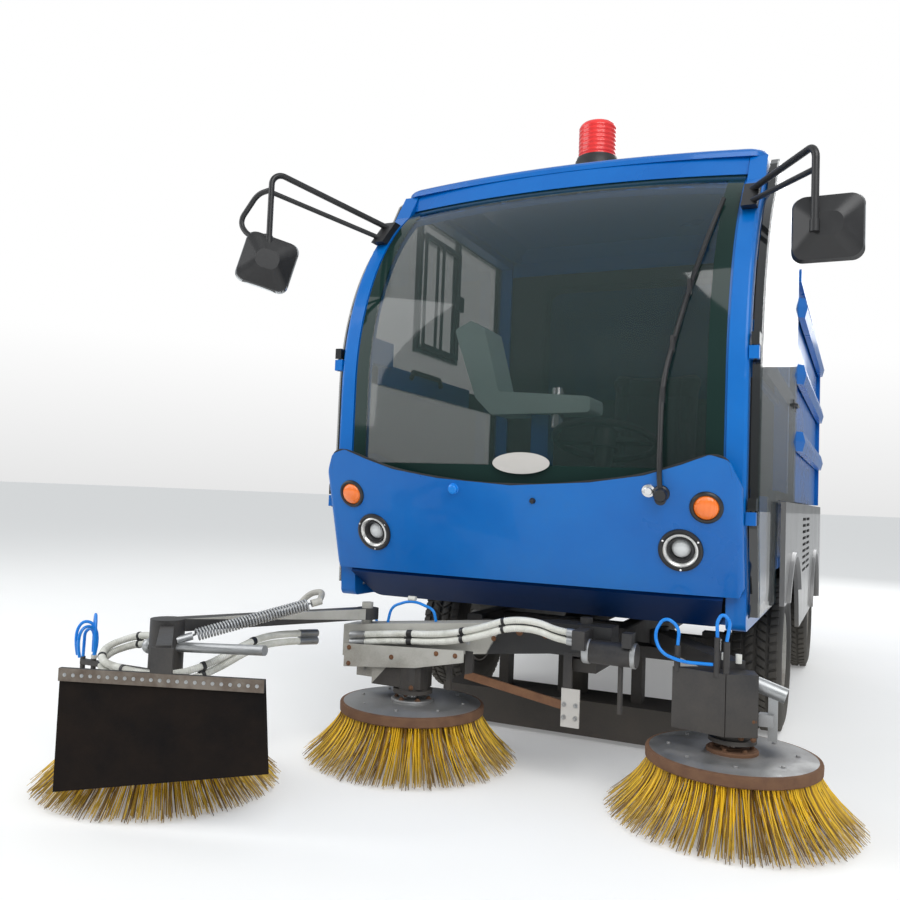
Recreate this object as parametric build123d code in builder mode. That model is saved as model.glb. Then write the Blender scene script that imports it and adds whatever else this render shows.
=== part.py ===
from build123d import *
import math
import os

# A compact street sweeper, nose toward -Y, left side toward +X, floor at Z = 0.
# Millimetres. The sizes below count X from the truck's middle and Y from the plane of the headlamps;
# each piece is saved from the middle of the footprint instead, which lies at these two values.
footprint_x = -91.0
footprint_y = 1450.0

# Driving sizes
cab_half_width = 722.0
roof_top_z = 2280.0
cab_floor_z = 560.0
cab_rear_y = 1620.0
tyre_radius = 310.0
tyre_width = 190.0
front_axle_y = 1150.0
rear_axle_y = 2850.0
hopper_front_y = 1690.0
hopper_rear_y = 3900.0
hopper_floor_z = 945.0
hopper_top_z = 2060.0
rail_half_gap = 270.0
rail_z = 415.0
face_y = 10.0
face_radius = 933.0
brush_tip_radius = 365.0
brush_disc_radius = 248.0
brush_disc_z = 196.0

# What follows from them across the truck
panel_thickness = 18.0
panel_outer_x = cab_half_width + 63.0
hopper_half_width = cab_half_width + 13.0
wheel_outer_x = panel_outer_x - panel_thickness - 2.0
nose_half_width = cab_half_width - 2.0
side_thickness = 60.0
side_inner_x = cab_half_width - side_thickness

# And upward in the cab: the face stands upright to the bend and arcs back above it
bend_z = roof_top_z - 980.0
screen_top_z = roof_top_z - 205.0
frame_top_z = roof_top_z - 130.0
face_turn = 52.5
face_centre_y = face_y + face_radius

os.makedirs("parts", exist_ok=True)


def save(solid, name):
    placed = solid.moved(Location((-footprint_x, -footprint_y, 0)))
    placed.label = name
    export_step(placed, "parts/" + name + ".step")


def face_point(inset, angle):
    radius = face_radius - inset
    turned = math.radians(angle)
    return (face_centre_y - radius * math.cos(turned), bend_z + radius * math.sin(turned))


def face_back_y(z):
    rise = max(0.0, z - bend_z)
    return face_centre_y - math.sqrt(face_radius ** 2 - rise ** 2)


# Chassis: two box rails, cross members, the deck under the hopper and the tongue of the sweeping gear
rail_width = 60.0
rail_height = 110.0
rail_front_y = 300.0
rail_rear_y = hopper_rear_y - 60.0
cross_ys = (340.0, 560.0, 1950.0, 2200.0, 2500.0, 3300.0, rail_rear_y - 40.0)
cross_height = 80.0
pivot_pin_radius = 20.0
pivot_play = 0.08
cross_size = 70.0
deck_thickness = 8.0
deck_z = hopper_floor_z - 20.0
deck_front_y = hopper_front_y - 50.0
hinge_y = hopper_rear_y - 100.0
hinge_z = hopper_floor_z - 40.0
hinge_knuckle_radius = 28.0
hinge_pin_radius = 12.0
deck_rear_y = hinge_y - 60.0
post_ys = (deck_front_y + 60.0, 2430.0, 3250.0, deck_rear_y - 20.0)
tongue_x = 235.0
tongue_front_y = 75.0
tongue_z = 380.0
tongue_height = 40.0
side_pivot_x = 400.0
side_pivot_y = 450.0
cylinder_foot_y = 2330.0
cylinder_foot_z = 520.0
cylinder_eye_y = hinge_y - 750.0
cylinder_eye_z = hopper_floor_z - 45.0
lug_half_gap = 59.0
lug_thickness = 16.0
foot_pin_radius = 16.0
hose_foot_y = 690.0
hose_head_y = 1760.0
hose_radius = 60.0
rail_length = rail_rear_y - rail_front_y
rail_mid_y = (rail_rear_y + rail_front_y) / 2
with BuildPart() as chassis_frame:
    for side in (-1, 1):
        with BuildSketch(Plane.XZ.offset(-rail_front_y)):
            with Locations((side * rail_half_gap, rail_z)):
                RectangleRounded(rail_width, rail_height, 8)
        extrude(amount=-rail_length)
        for post_y in post_ys:
            with Locations((side * rail_half_gap, post_y, (rail_z + deck_z) / 2)):
                Box(rail_width, cross_size, deck_z - rail_z)
        with Locations((side * rail_half_gap, 700, (rail_z + cab_floor_z) / 2)):
            Box(rail_width, 80, cab_floor_z - rail_z)
    for cross_y in cross_ys:
        with Locations((0, cross_y, rail_z)):
            Box(2 * rail_half_gap, cross_size, cross_height)
    with Locations((0, (deck_front_y + deck_rear_y) / 2, deck_z + deck_thickness / 2)):
        Box(2 * (panel_outer_x - panel_thickness), deck_rear_y - deck_front_y, deck_thickness)
    with Locations((0, cylinder_eye_y - 20, deck_z + deck_thickness / 2)):
        Box(150, 780, 40, mode=Mode.SUBTRACT)
    with Locations((0, hose_head_y, deck_z)):
        Cylinder(hose_radius + 8, 60, mode=Mode.SUBTRACT)
    with Locations((tongue_x, (tongue_front_y - 60 + rail_front_y) / 2, tongue_z)):
        Box(90, rail_front_y - tongue_front_y + 80, tongue_height)
    with Locations(((rail_half_gap + side_pivot_x + 50) / 2, side_pivot_y, tongue_z)):
        Box(side_pivot_x + 50 - rail_half_gap, 90, tongue_height)
    for side in (-1, 1):
        with BuildSketch(Plane.YZ.offset(side * lug_half_gap - lug_thickness / 2)):
            with Locations((cylinder_foot_y, (rail_z + cylinder_foot_z) / 2)):
                Rectangle(70, cylinder_foot_z - rail_z)
            with Locations((cylinder_foot_y, cylinder_foot_z)):
                Circle(35)
                Circle(foot_pin_radius + pivot_play, mode=Mode.SUBTRACT)
        extrude(amount=lug_thickness)
        with Locations((side * rail_half_gap, hinge_y - 30, hinge_z - 40)):
            Box(24, 110, 60)
        with Locations((side * rail_half_gap, hinge_y, hinge_z)):
            Cylinder(hinge_knuckle_radius, 24, rotation=(0, 90, 0))
            Cylinder(hinge_pin_radius + pivot_play, 24, rotation=(0, 90, 0), mode=Mode.SUBTRACT)
    with Locations((0, cylinder_foot_y, rail_z)):
        Box(2 * rail_half_gap, 90, cross_height)
    for pin_x, pin_y, pin_top in ((tongue_x, 40, 530), (side_pivot_x, side_pivot_y, 470)):
        with Locations((pin_x, pin_y, tongue_z)):
            Cylinder(pivot_pin_radius, pin_top - tongue_z, align=(Align.CENTER, Align.CENTER, Align.MIN))
save(chassis_frame.part, "chassis_frame")

# Wheels: a tyre with bulged walls on a dished steel rim with round hand holes and nuts
rim_radius = 175.0
rim_thickness = 8.0
tyre_wall_bulge = 20.0
hub_radius = 62.0
spindle_radius = 24.0
spindle_play = 0.08
kingpin_play = 0.08
kingpin_radius = 14.0
hand_hole_radius = 16.0
hand_holes = 8
wheel_nuts = 6
half_tread = tyre_width / 2 - 14.0
wheel_mid = wheel_outer_x - tyre_width / 2
dish_x = 34.0
wheels = (
    # name, side, axle y
    ("front_left", 1, front_axle_y),
    ("front_right", -1, front_axle_y),
    ("rear_left", 1, rear_axle_y),
    ("rear_right", -1, rear_axle_y),
)
for wheel_name, side, axle_y in wheels:
    axle_place = Location((0, axle_y, tyre_radius))
    with BuildPart() as tyre:
        with BuildSketch(Plane.XZ) as tyre_section:
            with BuildLine():
                bead_low = (side * wheel_mid - 70, rim_radius)
                bead_high = (side * wheel_mid + 70, rim_radius)
                tread_low = (side * wheel_mid - half_tread, tyre_radius)
                tread_high = (side * wheel_mid + half_tread, tyre_radius)
                wall_z = (rim_radius + tyre_radius) / 2 + 4
                Line(bead_low, bead_high)
                ThreePointArc(bead_high, (side * wheel_mid + tyre_width / 2, wall_z), tread_high)
                Line(tread_high, tread_low)
                ThreePointArc(tread_low, (side * wheel_mid - tyre_width / 2, wall_z), bead_low)
            make_face()
        revolve(axis=Axis.X)
    save(tyre.part.moved(axle_place), "tyre_" + wheel_name)
    with BuildPart() as rim:
        with BuildSketch(Plane.XZ):
            with Locations((side * wheel_mid, rim_radius - rim_thickness / 2)):
                Rectangle(tyre_width - 30, rim_thickness)
            with BuildLine():
                Polyline(
                    (side * (wheel_mid + dish_x - 30), rim_radius - 4),
                    (side * (wheel_mid + dish_x - 22), rim_radius - 4),
                    (side * (wheel_mid + dish_x + 8), rim_radius - 40),
                    (side * (wheel_mid + dish_x + 8), hub_radius + 34),
                    (side * (wheel_mid + dish_x - 6), hub_radius),
                    (side * (wheel_mid + dish_x + 10), hub_radius - 10),
                    (side * (wheel_mid + dish_x + 10), spindle_radius + spindle_play),
                    (side * (wheel_mid - 32), spindle_radius + spindle_play),
                    (side * (wheel_mid - 32), hub_radius),
                    (side * (wheel_mid + dish_x - 14), hub_radius),
                    (side * (wheel_mid + dish_x), hub_radius + 38),
                    (side * (wheel_mid + dish_x), rim_radius - 44),
                    close=True,
                )
            make_face()
        revolve(axis=Axis.X)
        with BuildSketch(Plane.YZ.offset(side * (wheel_mid + dish_x + 4))):
            with PolarLocations(rim_radius - 58, hand_holes):
                Circle(hand_hole_radius)
        extrude(amount=20, both=True, mode=Mode.SUBTRACT)
        with BuildSketch(Plane.YZ.offset(side * (wheel_mid + dish_x + 2))):
            with PolarLocations(hub_radius + 16, wheel_nuts, start_angle=15):
                RegularPolygon(10, 6)
        extrude(amount=side * 14)
    save(rim.part.moved(axle_place), "rim_" + wheel_name)

# Axles: beams with the front knuckles on kingpins
kingpin_x = wheel_outer_x - 235.0
beam_size = 80.0
spindle_end_x = wheel_mid + dish_x
with BuildPart() as front_axle:
    with Locations((0, front_axle_y, tyre_radius)):
        Box(2 * (kingpin_x - 40), beam_size, beam_size)
    for side in (-1, 1):
        pad_low = tyre_radius + beam_size / 2
        with Locations((side * rail_half_gap, front_axle_y, (pad_low + rail_z - rail_height / 2) / 2)):
            Box(rail_width, 120, rail_z - rail_height / 2 - pad_low)
        for fork_z in (tyre_radius - 52, tyre_radius + 52):
            with Locations((side * (kingpin_x - 35), front_axle_y, fork_z)):
                Box(110, 70, 24)
        with Locations((side * (kingpin_x - 80), front_axle_y, tyre_radius)):
            Box(40, 70, 128)
        with Locations((side * kingpin_x, front_axle_y, tyre_radius)):
            Cylinder(kingpin_radius + kingpin_play, 200, mode=Mode.SUBTRACT)
save(front_axle.part, "front_axle")
for side, side_name in ((1, "left"), (-1, "right")):
    with BuildPart() as knuckle:
        with Locations((side * (kingpin_x + 4), front_axle_y, tyre_radius)):
            Box(52, 60, 70)
        with Locations((side * kingpin_x, front_axle_y, tyre_radius)):
            Cylinder(kingpin_radius, 150)
        spindle_x = (kingpin_x + 20 + spindle_end_x) / 2
        with Locations((side * spindle_x, front_axle_y, tyre_radius)):
            Cylinder(spindle_radius, spindle_end_x - kingpin_x - 20, rotation=(0, 90, 0))
    save(knuckle.part, "knuckle_" + side_name)
rear_beam = 100.0
with BuildPart() as rear_axle:
    with Locations((0, rear_axle_y, tyre_radius)):
        Box(2 * (wheel_mid - 110), rear_beam, rear_beam)
        Cylinder(spindle_radius, 2 * spindle_end_x, rotation=(0, 90, 0))
        Cylinder(110, 200, rotation=(0, 90, 0))
    for side in (-1, 1):
        pad_low = tyre_radius + rear_beam / 2 - 16
        with Locations((side * rail_half_gap, rear_axle_y, (pad_low + rail_z - rail_height / 2) / 2)):
            Box(rail_width, 140, rail_z - rail_height / 2 - pad_low)
save(rear_axle.part, "rear_axle")

# The engine, one plain block on the rails under the hopper
engine_low_z = rail_z + cross_height / 2
engine_high_z = deck_z - 50.0
with BuildPart() as engine_block:
    with Locations((0, 2075, (engine_low_z + engine_high_z) / 2)):
        Box(430, 390, engine_high_z - engine_low_z)
save(engine_block.part, "engine_block")

# Windscreen: a bowed pane, upright to the bend and turned back over it
screen_low_z = 950.0
screen_bow = 45.0
glass_thickness = 6.0
screen_half_width = side_inner_x - 7.0
bow_radius = (screen_half_width ** 2 + screen_bow ** 2) / (2 * screen_bow)
screen_turn = 62.0
face_axis = Axis((0, face_centre_y, bend_z), (-1, 0, 0))


def bow_y(x, depth):
    return face_y + depth - screen_bow + bow_radius - math.sqrt(bow_radius ** 2 - x ** 2)


def bowed_strip(half, front_depth, back_depth):
    ThreePointArc(
        (-half, bow_y(half, front_depth)), (0, bow_y(0, front_depth)), (half, bow_y(half, front_depth))
    )
    Line((half, bow_y(half, front_depth)), (half, bow_y(half, back_depth)))
    ThreePointArc((half, bow_y(half, back_depth)), (0, bow_y(0, back_depth)), (-half, bow_y(half, back_depth)))
    Line((-half, bow_y(half, back_depth)), (-half, bow_y(half, front_depth)))


with BuildPart() as windscreen:
    with BuildSketch(Plane.XY.offset(bend_z)) as pane_section:
        with BuildLine():
            bowed_strip(screen_half_width, 0, glass_thickness)
        make_face()
    extrude(amount=screen_low_z - bend_z)
    revolve(pane_section.sketch, axis=face_axis, revolution_arc=screen_turn)
    split(bisect_by=Plane.XY.offset(screen_top_z), keep=Keep.BOTTOM)
save(windscreen.part, "windscreen")

# Cab: both side frames, the ring behind the glass and the bars between them
pillar_width = 62.0
pillar_foot_z = cab_floor_z - 35.0
door_low_z = cab_floor_z
door_rear_y = cab_rear_y - 75.0
arch_step_y = front_axle_y - 410.0
door_step_y = arch_step_y - 100.0
door_step_z = 950.0
arch_step_z = cab_floor_z + 140.0
brow_y = 450.0
nose_lean = math.atan2(100.0, 330.0)
nose_thickness = 18.0
nose_mid_y = -8.0
nose_mid_z = 795.0
nose_bow = 30.0
nose_low_z = 630.0
nose_corner = 28.0
nose_gap = 4.0


def nose_edge_y(z):
    return nose_mid_y - (z - nose_mid_z) * math.tan(nose_lean)


# The pillars stand back behind the nose's corners, down to its lower edge
seat_high_z = nose_mid_z + (nose_mid_y + nose_corner + nose_gap - face_y) / math.tan(nose_lean)
seat_low_z = nose_low_z + 10.0
seat_low_y = nose_edge_y(seat_low_z) + nose_corner + nose_gap
ring_depth = 24.0
ring_bar = 56.0
opening_turn = 49.0
door_hinge_x = cab_half_width + 18.0
door_hinge_y = face_y + 12.0
door_hinges = (seat_high_z + 30.0, bend_z + 76.0)
door_pin_radius = 6.0
opening_corner = face_point(pillar_width, opening_turn)
with BuildPart() as cab_frame:
    for side in (-1, 1):
        start_x = side_inner_x if side > 0 else -cab_half_width
        with BuildSketch(Plane.YZ.offset(start_x)) as side_sketch:
            with BuildLine():
                Polyline(
                    (seat_low_y + 8, pillar_foot_z),
                    (seat_low_y, seat_low_z),
                    (face_y, seat_high_z),
                    face_point(0, 0),
                )
                ThreePointArc(face_point(0, 0), face_point(0, face_turn / 2), face_point(0, face_turn))
                Polyline(
                    face_point(0, face_turn),
                    (brow_y, frame_top_z),
                    (cab_rear_y, frame_top_z),
                    (cab_rear_y, arch_step_z - 40),
                    (arch_step_y + 40, arch_step_z - 40),
                    (arch_step_y, pillar_foot_z),
                    (seat_low_y + 8, pillar_foot_z),
                )
            make_face()
            fillet(side_sketch.vertices().sort_by_distance((seat_low_y + 8, pillar_foot_z))[0], 24)
            with BuildLine():
                Polyline(
                    (seat_low_y + pillar_width, door_low_z),
                    (seat_low_y + pillar_width, seat_low_z),
                    (face_y + pillar_width, seat_high_z),
                    face_point(pillar_width, 0),
                )
                ThreePointArc(
                    face_point(pillar_width, 0),
                    face_point(pillar_width, opening_turn / 2),
                    opening_corner,
                )
                Polyline(
                    opening_corner,
                    (opening_corner[0] + 92, frame_top_z - 60),
                    (opening_corner[0] + 130, frame_top_z - 30),
                    (door_rear_y, frame_top_z - 30),
                    (door_rear_y, door_step_z),
                    (door_step_y + 20, door_step_z),
                    (door_step_y, door_low_z),
                    (seat_low_y + pillar_width, door_low_z),
                )
            make_face(mode=Mode.SUBTRACT)
        extrude(amount=side_thickness)
    outer_edges = cab_frame.edges().filter_by(
        lambda e: abs(abs(e.center().X) - cab_half_width) < 1 and e.center().Y < face_point(0, face_turn)[0]
        and e.center().Z > seat_high_z - 60 and abs(e.center().Y - face_back_y(e.center().Z)) < 30
    )
    fillet(outer_edges, 12)
    with BuildSketch(Plane.XY.offset(bend_z)) as ring_section:
        with BuildLine():
            bowed_strip(side_inner_x + 1, glass_thickness, glass_thickness + ring_depth)
        make_face()
    extrude(amount=screen_low_z - bend_z)
    revolve(ring_section.sketch, axis=face_axis, revolution_arc=screen_turn)
    with Locations((0, 300, screen_top_z)):
        Box(2 * side_inner_x, 800, 200, align=(Align.CENTER, Align.CENTER, Align.MIN), mode=Mode.SUBTRACT)
    with BuildSketch(Plane.XY.offset(bend_z)) as hole_section:
        with BuildLine():
            bowed_strip(side_inner_x - ring_bar, -20, glass_thickness + ring_depth + 30)
        make_face()
    extrude(amount=screen_low_z + ring_bar - bend_z, mode=Mode.SUBTRACT)
    revolve(hole_section.sketch, axis=face_axis, revolution_arc=opening_turn, mode=Mode.SUBTRACT)
    for bar_y, bar_z, bar_depth, bar_height in (
        (cab_rear_y - 30, frame_top_z - 35, 60, 70),
        (cab_rear_y - 30, arch_step_z - 10, 60, 60),
        (brow_y + 80, frame_top_z - 25, 40, 50),
        (220, cab_floor_z - 17, 44, 32),
    ):
        with Locations((0, bar_y, bar_z)):
            Box(2 * side_inner_x, bar_depth, bar_height)
    for side in (-1, 1):
        for hinge_low in door_hinges:
            with Locations((side * (door_hinge_x - 3), door_hinge_y + 3, hinge_low)):
                Box(30, 30, 40)
            with Locations((side * door_hinge_x, door_hinge_y, hinge_low)):
                Cylinder(door_pin_radius + pivot_play, 44, mode=Mode.SUBTRACT)
save(cab_frame.part, "cab_frame")

# Roof: a crowned shell lofted through bowed plan outlines, and a brow that runs down to the glass
brow_depth = 60.0
glass_wall_gap = 4.0
brow_rise = frame_top_z - screen_top_z - 2.0
top_drop = screen_top_z - bend_z
glass_mid_y = face_centre_y - math.sqrt((face_radius + screen_bow) ** 2 - top_drop ** 2)
glass_end_y = face_centre_y - math.sqrt(face_radius ** 2 - top_drop ** 2)
brow_step = 2.5
brow_back = brow_y - glass_end_y + glass_wall_gap + brow_step
brow_length = math.hypot(brow_rise, brow_back)
brow_half = side_inner_x - 2.0
roof_bow = glass_end_y - glass_mid_y
hollow_height = 50.0
hollow_lean = 60.0
roof_levels = (
    # drop below the crown, set back of the front, set in of the sides, corner radius
    (roof_top_z - frame_top_z, 0.0, 0.0, 70.0),
    (113.0, 3.0, 2.0, 70.0),
    (103.0, 11.0, 6.0, 72.0),
    (96.0, 22.0, 10.0, 74.0),
    (90.0, 38.0, 16.0, 78.0),
    (79.0, 68.0, 30.0, 84.0),
    (64.0, 110.0, 50.0, 92.0),
    (29.0, 200.0, 112.0, 104.0),
    (0.0, 285.0, 182.0, 116.0),
)
with BuildPart() as cab_roof:
    for drop, set_back, set_in, corner in roof_levels:
        half = cab_half_width - set_in
        front_y = brow_y + set_back
        rear_y = cab_rear_y - set_in * 0.6
        with BuildSketch(Plane.XY.offset(roof_top_z - drop)) as level_sketch:
            with BuildLine():
                ThreePointArc((-half, front_y), (0, front_y - roof_bow), (half, front_y))
                Polyline((half, front_y), (half, rear_y), (-half, rear_y), (-half, front_y))
            make_face()
            fillet(level_sketch.vertices().group_by(Axis.Y)[0], corner)
            fillet(level_sketch.vertices().group_by(Axis.Y)[-1], 40)
    loft(ruled=True)
    with BuildSketch(Plane.XY.offset(frame_top_z)):
        with Locations((0, (brow_y + 120 + cab_rear_y - 60) / 2)):
            RectangleRounded(2 * (side_inner_x - 20), cab_rear_y - brow_y - 180, 40)
    extrude(amount=hollow_height, taper=hollow_lean, mode=Mode.SUBTRACT)
    with BuildSketch(Plane.XY.offset(screen_top_z + 2)):
        front_end_y = glass_end_y - glass_wall_gap
        with BuildLine():
            ThreePointArc((-brow_half, front_end_y), (0, front_end_y - roof_bow), (brow_half, front_end_y))
            Line((brow_half, front_end_y), (brow_half, glass_end_y + brow_depth / 2))
            ThreePointArc(
                (brow_half, glass_end_y + brow_depth / 2),
                (0, glass_mid_y + brow_depth),
                (-brow_half, glass_end_y + brow_depth / 2),
            )
            Line((-brow_half, glass_end_y + brow_depth / 2), (-brow_half, front_end_y))
        make_face()
    extrude(amount=brow_length, dir=(0, brow_back / brow_length, brow_rise / brow_length))
save(cab_roof.part, "cab_roof")

# Floor with its step over the front axle and the toe board, rear wall and its window
floor_thickness = 16.0
toe_y = 75.0
wall_y = cab_rear_y - 50.0
with BuildPart() as cab_floor:
    with BuildSketch(Plane.YZ.offset(-side_inner_x)):
        with BuildLine():
            Polyline(
                (toe_y, screen_low_z - 20),
                (toe_y, 790),
                (200, cab_floor_z),
                (arch_step_y, cab_floor_z),
                (arch_step_y, arch_step_z - floor_thickness),
                (wall_y - 11, arch_step_z - floor_thickness),
                (wall_y - 11, arch_step_z),
                (arch_step_y - floor_thickness, arch_step_z),
                (arch_step_y - floor_thickness, cab_floor_z + floor_thickness),
                (212, cab_floor_z + floor_thickness),
                (toe_y + floor_thickness, 798),
                (toe_y + floor_thickness, screen_low_z - 20),
                close=True,
            )
        make_face()
    extrude(amount=2 * side_inner_x)
save(cab_floor.part, "cab_floor")
window_mid_z = roof_top_z - 580.0
window_width = 2 * side_inner_x - 424.0
window_height = 560.0
wall_low_z = arch_step_z + 21.0
wall_high_z = frame_top_z - 71.0
with BuildPart() as cab_rear_wall:
    with Locations((0, wall_y, (wall_low_z + wall_high_z) / 2)):
        Box(2 * side_inner_x, 16, wall_high_z - wall_low_z)
    with BuildSketch(Plane.XZ.offset(-wall_y)):
        with Locations((0, window_mid_z)):
            RectangleRounded(window_width, window_height, 60)
    extrude(amount=20, both=True, mode=Mode.SUBTRACT)
save(cab_rear_wall.part, "cab_rear_wall")
with BuildPart() as rear_window:
    with Locations((0, wall_y - 11, window_mid_z)):
        Box(window_width + 50, 6, window_height + 50)
save(rear_window.part, "rear_window")

# Doors: a full-height glass skin on a slim frame with a waist band, hinged at the front
door_gap = 6.0
door_frame_depth = 24.0
door_skin = 6.0
door_inset = 45.0
door_border = 34.0
band_z = bend_z + 80.0
band_height = 75.0
slider_low_z = band_z + 150.0
slider_high_z = frame_top_z - 90.0
slider_front_y = 620.0
slider_rear_y = 1040.0
slider_bar = 22.0
door_corner = face_point(door_inset, 50)


def door_outline(border):
    inset = door_inset + border
    corner = face_point(inset, 50)
    high_z = frame_top_z - border
    Polyline(
        (seat_low_y + inset, door_low_z + 8 + border),
        (seat_low_y + inset, seat_low_z),
        (face_y + inset, seat_high_z),
        face_point(inset, 0),
    )
    ThreePointArc(face_point(inset, 0), face_point(inset, 25), corner)
    Polyline(
        corner,
        (door_corner[0] + 88 + border, frame_top_z - 30 - border),
        (door_corner[0] + 130 + border, high_z),
        (door_rear_y + 20 - border, high_z),
        (door_rear_y + 20 - border, door_step_z - 12 + border),
        (door_step_y + 46 - border, door_step_z - 12 + border),
        (door_step_y + 20 - border, door_low_z + 8 + border),
        (seat_low_y + inset, door_low_z + 8 + border),
    )


for side, side_name in ((1, "left"), (-1, "right")):
    frame_x = cab_half_width + door_gap if side > 0 else -cab_half_width - door_gap - door_frame_depth
    glass_x = frame_x + door_frame_depth if side > 0 else frame_x - door_skin
    with BuildPart() as door_frame:
        with BuildSketch(Plane.YZ.offset(frame_x)):
            with BuildLine():
                door_outline(0)
            make_face()
            with BuildLine():
                door_outline(door_border)
            make_face(mode=Mode.SUBTRACT)
            with Locations(((face_y + door_inset + door_rear_y) / 2 + 12, band_z)):
                Rectangle(door_rear_y - face_y - door_inset, band_height)
            with Locations(((slider_front_y + slider_rear_y) / 2, (slider_low_z + slider_high_z) / 2)):
                Rectangle(slider_rear_y - slider_front_y, slider_high_z - slider_low_z)
                Rectangle(
                    slider_rear_y - slider_front_y - 2 * slider_bar,
                    slider_high_z - slider_low_z - 2 * slider_bar,
                    mode=Mode.SUBTRACT,
                )
            for bar_y in (slider_front_y + 11, slider_rear_y - 11):
                with Locations((bar_y, (slider_high_z + frame_top_z - 10) / 2)):
                    Rectangle(slider_bar, frame_top_z - 10 - slider_high_z)
        extrude(amount=door_frame_depth)
        with Locations((side * (cab_half_width + door_gap - 9), 655, band_z + 10)):
            Box(20, 280, 24)
        for hinge_low in door_hinges:
            with Locations((side * door_hinge_x, door_hinge_y + 20, hinge_low + 43)):
                Box(24, 64, 38)
            with Locations((side * door_hinge_x, door_hinge_y, hinge_low + 20)):
                Cylinder(door_pin_radius, 84)
    save(door_frame.part, "door_frame_" + side_name)
    with BuildPart() as door_glass:
        with BuildSketch(Plane.YZ.offset(glass_x)):
            with BuildLine():
                door_outline(0)
            make_face()
        extrude(amount=door_skin)
    save(door_glass.part, "door_glass_" + side_name)

# Nose: a bowed panel that leans forward at its top, with raised ears, round corners and lamp holes
nose_top_z = 1056.0
nose_radius = (nose_half_width ** 2 + nose_bow ** 2) / (2 * nose_bow)
nose_run = (nose_top_z - nose_low_z) / math.cos(nose_lean)
headlamp_x = nose_half_width - 182.0
headlamp_z = 767.0
headlamp_hole = 66.0
indicator_x = nose_half_width - 103.0
indicator_z = 900.0
indicator_hole = 44.0
lamp_play = 0.5


def nose_front_y(x, z):
    return nose_edge_y(z) - nose_bow + nose_radius - math.sqrt(nose_radius ** 2 - x ** 2)


def lamp_plane(x, z):
    swing = math.asin(x / nose_radius)
    outward = (
        math.sin(swing),
        -math.cos(swing) * math.cos(nose_lean),
        -math.cos(swing) * math.sin(nose_lean),
    )
    return Plane(origin=(x, nose_front_y(x, z), z), x_dir=(math.cos(swing), math.sin(swing), 0), z_dir=outward)


lamp_holes = (
    # across, height, hole radius
    (headlamp_x, headlamp_z, headlamp_hole),
    (indicator_x, indicator_z, indicator_hole),
)
edge_y = nose_edge_y(nose_low_z)
lip_x = nose_half_width - 14.0
with BuildPart() as nose_panel:
    with BuildSketch(Plane.XY.offset(nose_low_z)) as nose_section:
        with BuildLine():
            ThreePointArc((-nose_half_width, edge_y), (0, edge_y - nose_bow), (nose_half_width, edge_y))
            Polyline(
                (nose_half_width, edge_y),
                (nose_half_width, edge_y + nose_corner),
                (lip_x, edge_y + nose_corner),
                (lip_x, edge_y + nose_thickness - 2),
            )
            ThreePointArc(
                (lip_x, edge_y + nose_thickness - 2),
                (0, edge_y + nose_thickness - nose_bow),
                (-lip_x, edge_y + nose_thickness - 2),
            )
            Polyline(
                (-lip_x, edge_y + nose_thickness - 2),
                (-lip_x, edge_y + nose_corner),
                (-nose_half_width, edge_y + nose_corner),
                (-nose_half_width, edge_y),
            )
        make_face()
        fillet(nose_section.vertices().filter_by(lambda v: abs(v.Y - edge_y) < 0.1), nose_corner - 8)
    extrude(amount=nose_run, dir=(0, -math.sin(nose_lean), math.cos(nose_lean)))
    with BuildSketch(Plane.XZ) as nose_outline:
        with BuildLine():
            Polyline(
                (-nose_half_width + 14, nose_low_z),
                (-nose_half_width - 1, nose_low_z + 34),
                (-nose_half_width - 1, 960),
                (-nose_half_width + 36, 1040),
                (-nose_half_width + 90, nose_top_z),
                (-nose_half_width + 175, 1024),
                (-nose_half_width + 285, 990),
                (-nose_half_width + 455, 964),
                (0, 947),
                (nose_half_width - 455, 964),
                (nose_half_width - 285, 990),
                (nose_half_width - 175, 1024),
                (nose_half_width - 90, nose_top_z),
                (nose_half_width - 36, 1040),
                (nose_half_width + 1, 960),
                (nose_half_width + 1, nose_low_z + 34),
                (nose_half_width - 14, nose_low_z),
                close=True,
            )
        make_face()
        fillet(nose_outline.vertices().filter_by(lambda v: v.Y > 1000), 28)
    extrude(amount=500, both=True, mode=Mode.INTERSECT)
    for side in (-1, 1):
        for hole_x, hole_z, hole_radius in lamp_holes:
            with BuildSketch(lamp_plane(side * hole_x, hole_z)):
                Circle(hole_radius)
            extrude(amount=60, both=True, mode=Mode.SUBTRACT)
    for side in (-1, 1):
        with BuildSketch(Plane.YZ.offset(side * (side_inner_x + 20) - 12)):
            with BuildLine():
                Polyline(
                    (nose_front_y(side_inner_x, 860) + nose_thickness - 3, 860),
                    (face_y, 860),
                    (face_y, 930),
                    (nose_front_y(side_inner_x, 930) + nose_thickness - 3, 930),
                    close=True,
                )
            make_face()
        extrude(amount=24)
save(nose_panel.part, "nose_panel")

# Lamps of the nose: a rounded bezel, a deep bowl and a domed lens; both sides share a piece
def dome_middle(edge_radius, edge_z, top_z):
    rise = top_z - edge_z
    dome_radius = (edge_radius ** 2 + rise ** 2) / (2 * rise)
    half_way = edge_radius / 2
    return (half_way, top_z - dome_radius + math.sqrt(dome_radius ** 2 - half_way ** 2))


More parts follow.
